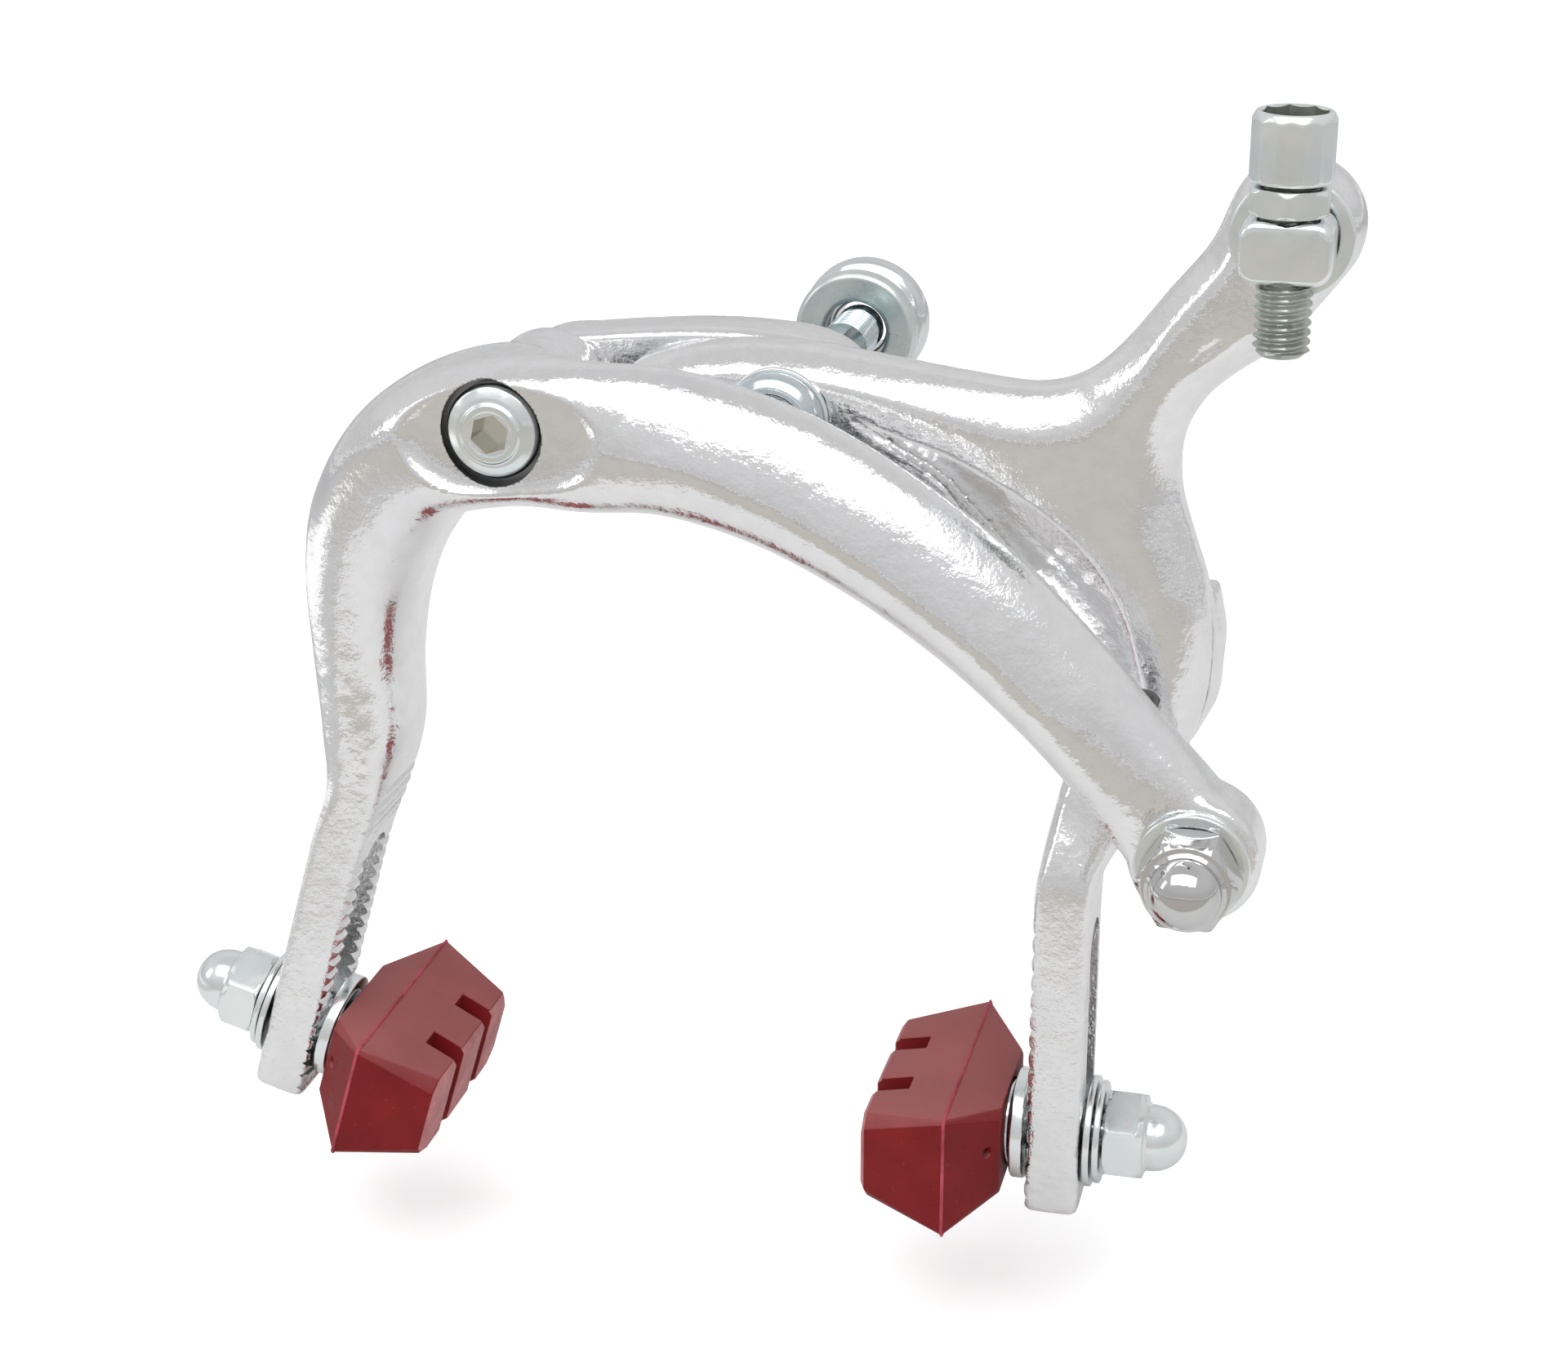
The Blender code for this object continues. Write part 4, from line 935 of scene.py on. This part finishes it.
def adjuster():
    low, top = span("adjuster_barrel", 2)
    cable, cup_bore, floor, cup = 1.2, 3.1, 32.1, 30.7
    place = Vector((BARREL.x, BARREL.y, 0.0))
    profile = [(cable, floor - 1.0), (cable, low), (2.2, low), (2.6, low + 0.4)]
    profile += thread_rows(BOLT_R, low + 0.6, cup - 0.4)
    shell = [(BOLT_R, cup - 0.1), (3.9, cup), (4.4, cup + 0.5), (4.4, top - 0.9), (3.95, top - 0.1)]
    shell += [(3.6, top), (cup_bore, top - 0.4), (cup_bore, floor), (cable, floor), (cable, floor - 1.0)]
    profile += softened(shell, 0.25)
    mesh = turned(profile, flats=(8.55, 12))
    opening = arc((0.0, 0.0), 3.5, 15.0, 330.0, 8)
    mesh = cut(mesh, [prism(opening, top - 2.4, top + 2.0)])
    barrel = turned_piece("adjuster_barrel", along(mesh, place, SKYWARD, FORWARD), ZINC, "adjuster")

    # The thread below the cup is a duller, darker zinc; the wall and floor inside the cup get the same colour as
    # painted shade.
    def on_thread_or_in_cup(centre):
        reach = math.hypot(centre.x - place.x, centre.y - place.y)
        return centre.z < cup - 0.3 or (reach < 3.55 and centre.z < top - 0.25)

    paint(barrel, ZINC_THREAD_AND_SHADE, on_thread_or_in_cup)
    low, high = span("adjuster_lock_nut", 2)
    corner, across_flats = 4.6, 8.0
    profile = [(BOLT_BORE, low + 1.0), (BOLT_BORE, low), (3.85, low), (4.1, low + 0.05), (corner, low + 0.5)]
    profile += [(corner, high - 0.5), (4.1, high - 0.05), (3.85, high), (BOLT_BORE, high)]
    mesh = turned(softened(profile, 0.12), flats=(across_flats, 6))
    turned_piece("adjuster_lock_nut", along(mesh, place, SKYWARD, RIGHTWARD), ZINC, "lock_nut")


# Brake pads


def pad_outline(reach, length, height, cut_off):
    y, z = 0.5 * length, 0.5 * height
    half = [(y, z - cut_off), (y - cut_off, z), (-y + cut_off, z), (-y, z - cut_off)]
    return [(reach, a, b) for a, b in half] + [(reach, -a, -b) for a, b in half]


def tube_loop(points, radius):
    """A thin closed tube round a loop of points that lie in one plane square to X."""
    sides, square = 8, Vector(RIGHTWARD)
    verts, faces = [], []
    count = len(points)
    for k in range(count):
        here = Vector(points[k])
        tangent = (Vector(points[(k + 1) % count]) - Vector(points[k - 1])).normalized()
        side = tangent.cross(square)
        for s in range(sides):
            turn = 2.0 * math.pi * s / sides
            verts.append(here + radius * (math.cos(turn) * side + math.sin(turn) * square))
    for k in range(count):
        j = (k + 1) % count
        for s in range(sides):
            t = (s + 1) % sides
            faces.append([k * sides + s, k * sides + t, j * sides + t, j * sides + s])
    return as_mesh(verts, faces)


def brake_pad(prefix, stud, out, up):
    """A pad made with X from the leg towards the rim, Y along the rim and Z up the leg."""
    back, belt, face = 5.95, 11.4, 21.8
    widest = pad_outline(belt, 31.6, 15.5, 0.5)
    front = [pad_outline(face - 0.6, 27.0, 11.3, 1.6), pad_outline(face, 25.6, 10.0, 1.8)]
    mesh = lofted([pad_outline(back, 17.0, 11.5, 1.2), widest, *front])
    slots = []
    for shift in (-5.2, 5.2):
        outline = [(17.3, shift - 1.5), (30.0, shift - 1.5), (30.0, shift + 1.5), (17.3, shift + 1.5)]
        slots.append(prism(outline, -10.0, 10.0))
    mesh = cut(mesh, slots)
    socket = [(0.0, 0.0), (5.4, 0.0), (5.4, 7.85), (BOLT_BORE, 7.85), (BOLT_BORE, 11.9), (0.0, 11.9)]
    mesh = cut(mesh, [along(turned(socket, 48), ORIGIN, RIGHTWARD)])
    vent = turned([(0.0, 0.0), (0.7, 0.0), (0.7, 6.0), (0.0, 6.0)], 32)
    mesh = cut(mesh, [along(vent, Vector((5.0, -10.6, 1.0)), (1.0, 0.3, 0.0))])
    mesh = bevelled(mesh, 0.45, 25.0)
    loop = []
    for k, here in enumerate(widest):
        ahead = Vector(widest[(k + 1) % len(widest)])
        steps = max(1, int((ahead - Vector(here)).length / 1.0))
        loop += [Vector(here).lerp(ahead, s / steps) for s in range(steps)]
    flash = tube_loop([(x, y * 0.998, z * 0.998) for x, y, z in loop], 0.2)
    place = Matrix.Translation(stud) @ Matrix((out, Vector(BACKWARD), up)).transposed().to_4x4()
    local = place.inverted()
    mesh = moved(cut(mesh, [flash], "UNION"), place)
    node = prefix + "_brake_pad"
    pad = piece(node + "_moulded", mesh, RUBBER, prefix + "_pad", node, sharp=24.0)

    def on_flash(centre):
        x, y, z = local @ centre
        return abs(x - belt) < 0.24 and (abs(y) > 15.3 or abs(z) > 7.3)

    paint(pad, FLASH, on_flash)
    paint(pad, WORN, lambda centre: (local @ centre).x > face - 0.5)


def pad_hardware(prefix, stud, out, up):
    clamp, back = prefix + "_pad_clamp", -Vector(out)
    stem = [(0.0, -11.55), (BOLT_R, -11.55), (BOLT_R, -7.45), (5.0, -7.45), (5.0, -5.55)]
    profile = softened(stem + [(BOLT_R, -5.55), (BOLT_R, -4.6)], 0.25)
    profile += thread_rows(BOLT_R, -4.4, 10.3) + [(2.3, 10.8), (0.0, 10.8)]
    mesh = along(turned(profile), stud, back, up)
    turned_piece(prefix + "_pad_stud", mesh, STEEL, prefix + "_pad")
    for kind, outer, low, high, direction, round_by in (
        ("_inner_washer", 6.7, 0.3, 1.9, out, 0.3),
        ("_outer_washer", 6.7, 0.25, 1.05, back, 0.2),
        ("_dished_washer", 6.2, 1.3, 2.1, back, 0.3),
    ):
        sizes = (WASHER_BORE, outer, LEG_HALF + low, LEG_HALF + high)
        ring(prefix + kind, ZINC, clamp, *sizes, stud, direction, round_by)
    turn = Matrix.Rotation(math.radians(30.0), 4, back)
    heights = (LEG_HALF + 2.4, LEG_HALF + 7.1, LEG_HALF + 12.0)
    acorn_nut(prefix + "_pad_nut", ZINC, clamp, stud, back, turn @ Vector(up), *heights)


# Return spring, its screw and the bearings


def wire(points, radius, sides=20):
    """A round wire along points, with domed ends."""
    places = [Vector(point) for point in points]
    dome = [(math.cos(t), math.sin(t)) for t in (0.2, 0.7, 1.15)]
    turns = [2.0 * math.pi * n / sides for n in range(sides)]
    rings = []
    for k, place in enumerate(places):
        ahead, behind = places[min(k + 1, len(places) - 1)], places[max(k - 1, 0)]
        direction = (ahead - behind).normalized()
        side = direction.cross(Vector(BACKWARD)).normalized()
        lift = side.cross(direction)
        steps = [(0.0, 1.0)]
        if k == 0:
            steps = [(-far, wide) for far, wide in dome] + steps
        if k == len(places) - 1:
            steps += dome[::-1]
        for far, wide in steps:
            centre, reach = place + direction * (radius * far), radius * wide
            rings.append([centre + reach * (math.cos(t) * side + math.sin(t) * lift) for t in turns])
    return lofted(rings)


def return_spring():
    """The bowed wire, in two halves that meet in their holder."""
    left = [(-50.8, -5.8, -29.0), (-50.2, -5.8, -22.0), (-43.0, -5.0, -13.5), (-29.0, -4.0, -9.5)]
    left += [(-14.2, -4.0, -8.7)]
    right = [(41.4, -5.8, -29.0), (41.0, -5.8, -23.0), (38.0, -5.4, -17.4), (26.0, -4.6, -12.4)]
    right += [(8.0, -4.0, -9.4), (-13.8, -4.0, -8.7)]
    for name, body, points, start in (("left", "front_arm", left, -20.0), ("right", "rear_arm", right, -8.0)):
        bend = (body, (start, -4.0, -9.0), points[1])
        mesh = wire(smooth_path(points, 12), 1.0)
        piece(name + "_spring_wire", mesh, STEEL, "mount_group", "return_spring", bend=bend)


def centring_screw():
    low, high = span("centring_screw", 1)
    profile = softened([(0.0, low + 0.9), (1.45, low + 0.9), (1.45, high), (0.0, high)], 0.2)
    sockets = [hex_recess(1.6, low - 1.0, low + 2.2), hex_recess(1.6, high - 1.4, high + 1.0)]
    screw = middle("centring_screw")
    mesh = cut(turned(profile, 48), sockets)
    mesh = along(mesh, Vector((screw.x, 0.0, screw.z)))
    # The whole screw is painted dark, as painted shade in its hole.
    turned_piece("centring_screw", mesh, PAINTED_SHADE, "rear_arm")


def hidden_rings():
    for node, look, body, inner, outer in (
        ("front_arm_bush", BRONZE, "front_arm", BOLT_BORE, 4.0),
        ("rear_arm_bush", BRONZE, "rear_arm", BOLT_BORE, 4.0),
        ("side_pivot_washer", PLASTIC, "mount_group", BUSH_BORE, 6.0),
        ("bracket_thrust_washer", PLASTIC, "mount_group", BUSH_BORE, 5.6),
    ):
        place = middle(node)
        place.y = 0.0
        washer(node, look, body, place, inner, outer, 0.12)


centre_bolt()
crown_stack()
side_pivot()
anchor()
cable_stop()
adjuster()
for side in (("left", LEFT_STUD, LEFT_OUT, LEFT_UP), ("right", RIGHT_STUD, RIGHT_OUT, RIGHT_UP)):
    brake_pad(*side)
    pad_hardware(*side)
return_spring()
centring_screw()
hidden_rings()
refined("left_spring_slider", PLASTIC, "front_arm")
refined("right_spring_slider", PLASTIC, "rear_arm")
refined("spring_holder", PLASTIC, "mount_group")


# Floor, light and camera, in metres


def stage_material(name, colour, glow=0.0):
    made = bpy.data.materials.new(name)
    made.use_nodes = True
    inputs = made.node_tree.nodes["Principled BSDF"].inputs
    inputs["Base Color"].default_value = (*colour, 1.0)
    inputs["Roughness"].default_value = 0.9
    inputs["Emission Color"].default_value = (1.0, 1.0, 1.0, 1.0)
    inputs["Emission Strength"].default_value = glow
    return made


def staged(name, mesh, look):
    mesh.materials.append(look)
    made = linked(name, mesh)
    return made


def ground(name, x, y, z, look):
    """A level sheet from its x and y limits."""
    mesh = bpy.data.meshes.new(name)
    mesh.from_pydata([(x[0], y[0], z), (x[1], y[0], z), (x[1], y[1], z), (x[0], y[1], z)], [], [(0, 1, 2, 3)])
    return staged(name, mesh, look)


def backdrop(radius, low):
    """A white dome behind everything, which lights nothing and isn't reflected."""
    dome = [(radius * math.cos(t), radius * math.sin(t)) for t in np.linspace(0.0, 0.5 * math.pi, 12)]
    mesh = turned([(0.0, -0.5), (radius, -0.5), *dome], 48)
    mesh.transform(Matrix.Translation((0.0, 0.0, low)))
    made = staged("backdrop", mesh, stage_material("backdrop_look", (0.0, 0.0, 0.0), 1.0))
    made.visible_diffuse = made.visible_glossy = made.visible_transmission = made.visible_shadow = False


def area_light(name, place, target, size, power):
    data = bpy.data.lights.new(name, "AREA")
    data.shape = "RECTANGLE"
    data.size, data.size_y = size
    data.energy = power
    made = linked(name, data)
    made.location = place
    made.rotation_euler = (Vector(target) - Vector(place)).to_track_quat("-Z", "Y").to_euler()
    made.visible_camera = False


def fill_light():
    """A very soft sun, which gives matt faces their shade without a highlight."""
    data = bpy.data.lights.new("fill", "SUN")
    data.energy = 1.35
    data.angle = math.radians(70.0)
    made = linked("fill", data)
    made.rotation_euler = (math.radians(12.0), math.radians(-10.0), 0.0)
    made.visible_glossy = False


def world_light():
    """Grey shades by direction, from the horizon up."""
    world = bpy.data.worlds.new("studio")
    bpy.context.scene.world = world
    world.use_nodes = True
    tree = world.node_tree
    back = tree.nodes["Background"]
    coords = tree.nodes.new("ShaderNodeTexCoord")
    split = tree.nodes.new("ShaderNodeSeparateXYZ")
    ramp = tree.nodes.new("ShaderNodeValToRGB")
    tree.links.new(coords.outputs["Generated"], split.inputs[0])
    tree.links.new(split.outputs["Z"], ramp.inputs["Fac"])
    tree.links.new(ramp.outputs["Color"], back.inputs["Color"])
    shades = ((0.0, 0.59), (0.15, 0.6), (0.4, 0.7), (0.7, 0.72), (0.9, 0.65))
    set_ramp(ramp.color_ramp, [(position, (value, value, value * 1.01)) for position, value in shades])
    back.inputs["Strength"].default_value = 1.0


def photo_camera():
    """The camera that was fitted to the photograph."""
    azimuth, elevation = math.radians(14.0), math.radians(21.0)
    right = Vector((math.cos(azimuth), math.sin(azimuth), 0.0))
    flat = math.cos(elevation)
    forward = Vector((-math.sin(azimuth) * flat, math.cos(azimuth) * flat, -math.sin(elevation)))
    data = bpy.data.cameras.new("camera")
    data.lens = 66.0
    data.sensor_width = 36.0
    data.clip_start = 0.01
    made = linked("camera", data)
    turn = Matrix((right, right.cross(forward), -forward)).transposed().to_4x4()
    made.matrix_world = Matrix.Translation((0.075975, -0.319143, 0.088868)) @ turn
    bpy.context.scene.camera = made


FLOOR_Z = -0.112
AIM = (0.0, -0.02, -0.03)
ground("floor", (-8.0, 8.0), (-8.0, 8.0), FLOOR_Z, stage_material("floor_look", (0.93, 0.93, 0.93), 0.2))
backdrop(7.9, FLOOR_Z)
for name, shade, x, y, lift in (
    ("grey_card", (0.44, 0.44, 0.445), (-3.0, 3.0), (-3.0, 3.0), 0.004),
    ("warm_card", (0.40, 0.378, 0.35), (-0.6, 0.6), (-1.2, -0.12), 0.008),
    ("near_card", (0.60, 0.60, 0.60), (-0.12, 0.6), (-0.128, 0.6), 0.010),
    ("white_card", (0.85, 0.85, 0.85), (-0.33, -0.2), (-0.12, 0.16), 0.012),
):
    card = ground(name, x, y, FLOOR_Z + lift, stage_material(name + "_look", shade))
    card.visible_camera = card.visible_diffuse = card.visible_shadow = False
world_light()
bpy.context.scene.view_settings.view_transform = "Standard"
area_light("overhead", (0.0, -0.34, 0.52), AIM, (0.95, 0.46), 1.5)
area_light("lamp_left", (0.02, -0.62, 0.56), AIM, (0.16, 0.16), 0.3)
area_light("lamp_right", (0.30, -0.62, 0.56), AIM, (0.16, 0.16), 0.3)
area_light("left", (-0.75, -0.3, 0.3), (0.0, 0.0, -0.03), (0.16, 0.34), 0.35)
fill_light()
photo_camera()
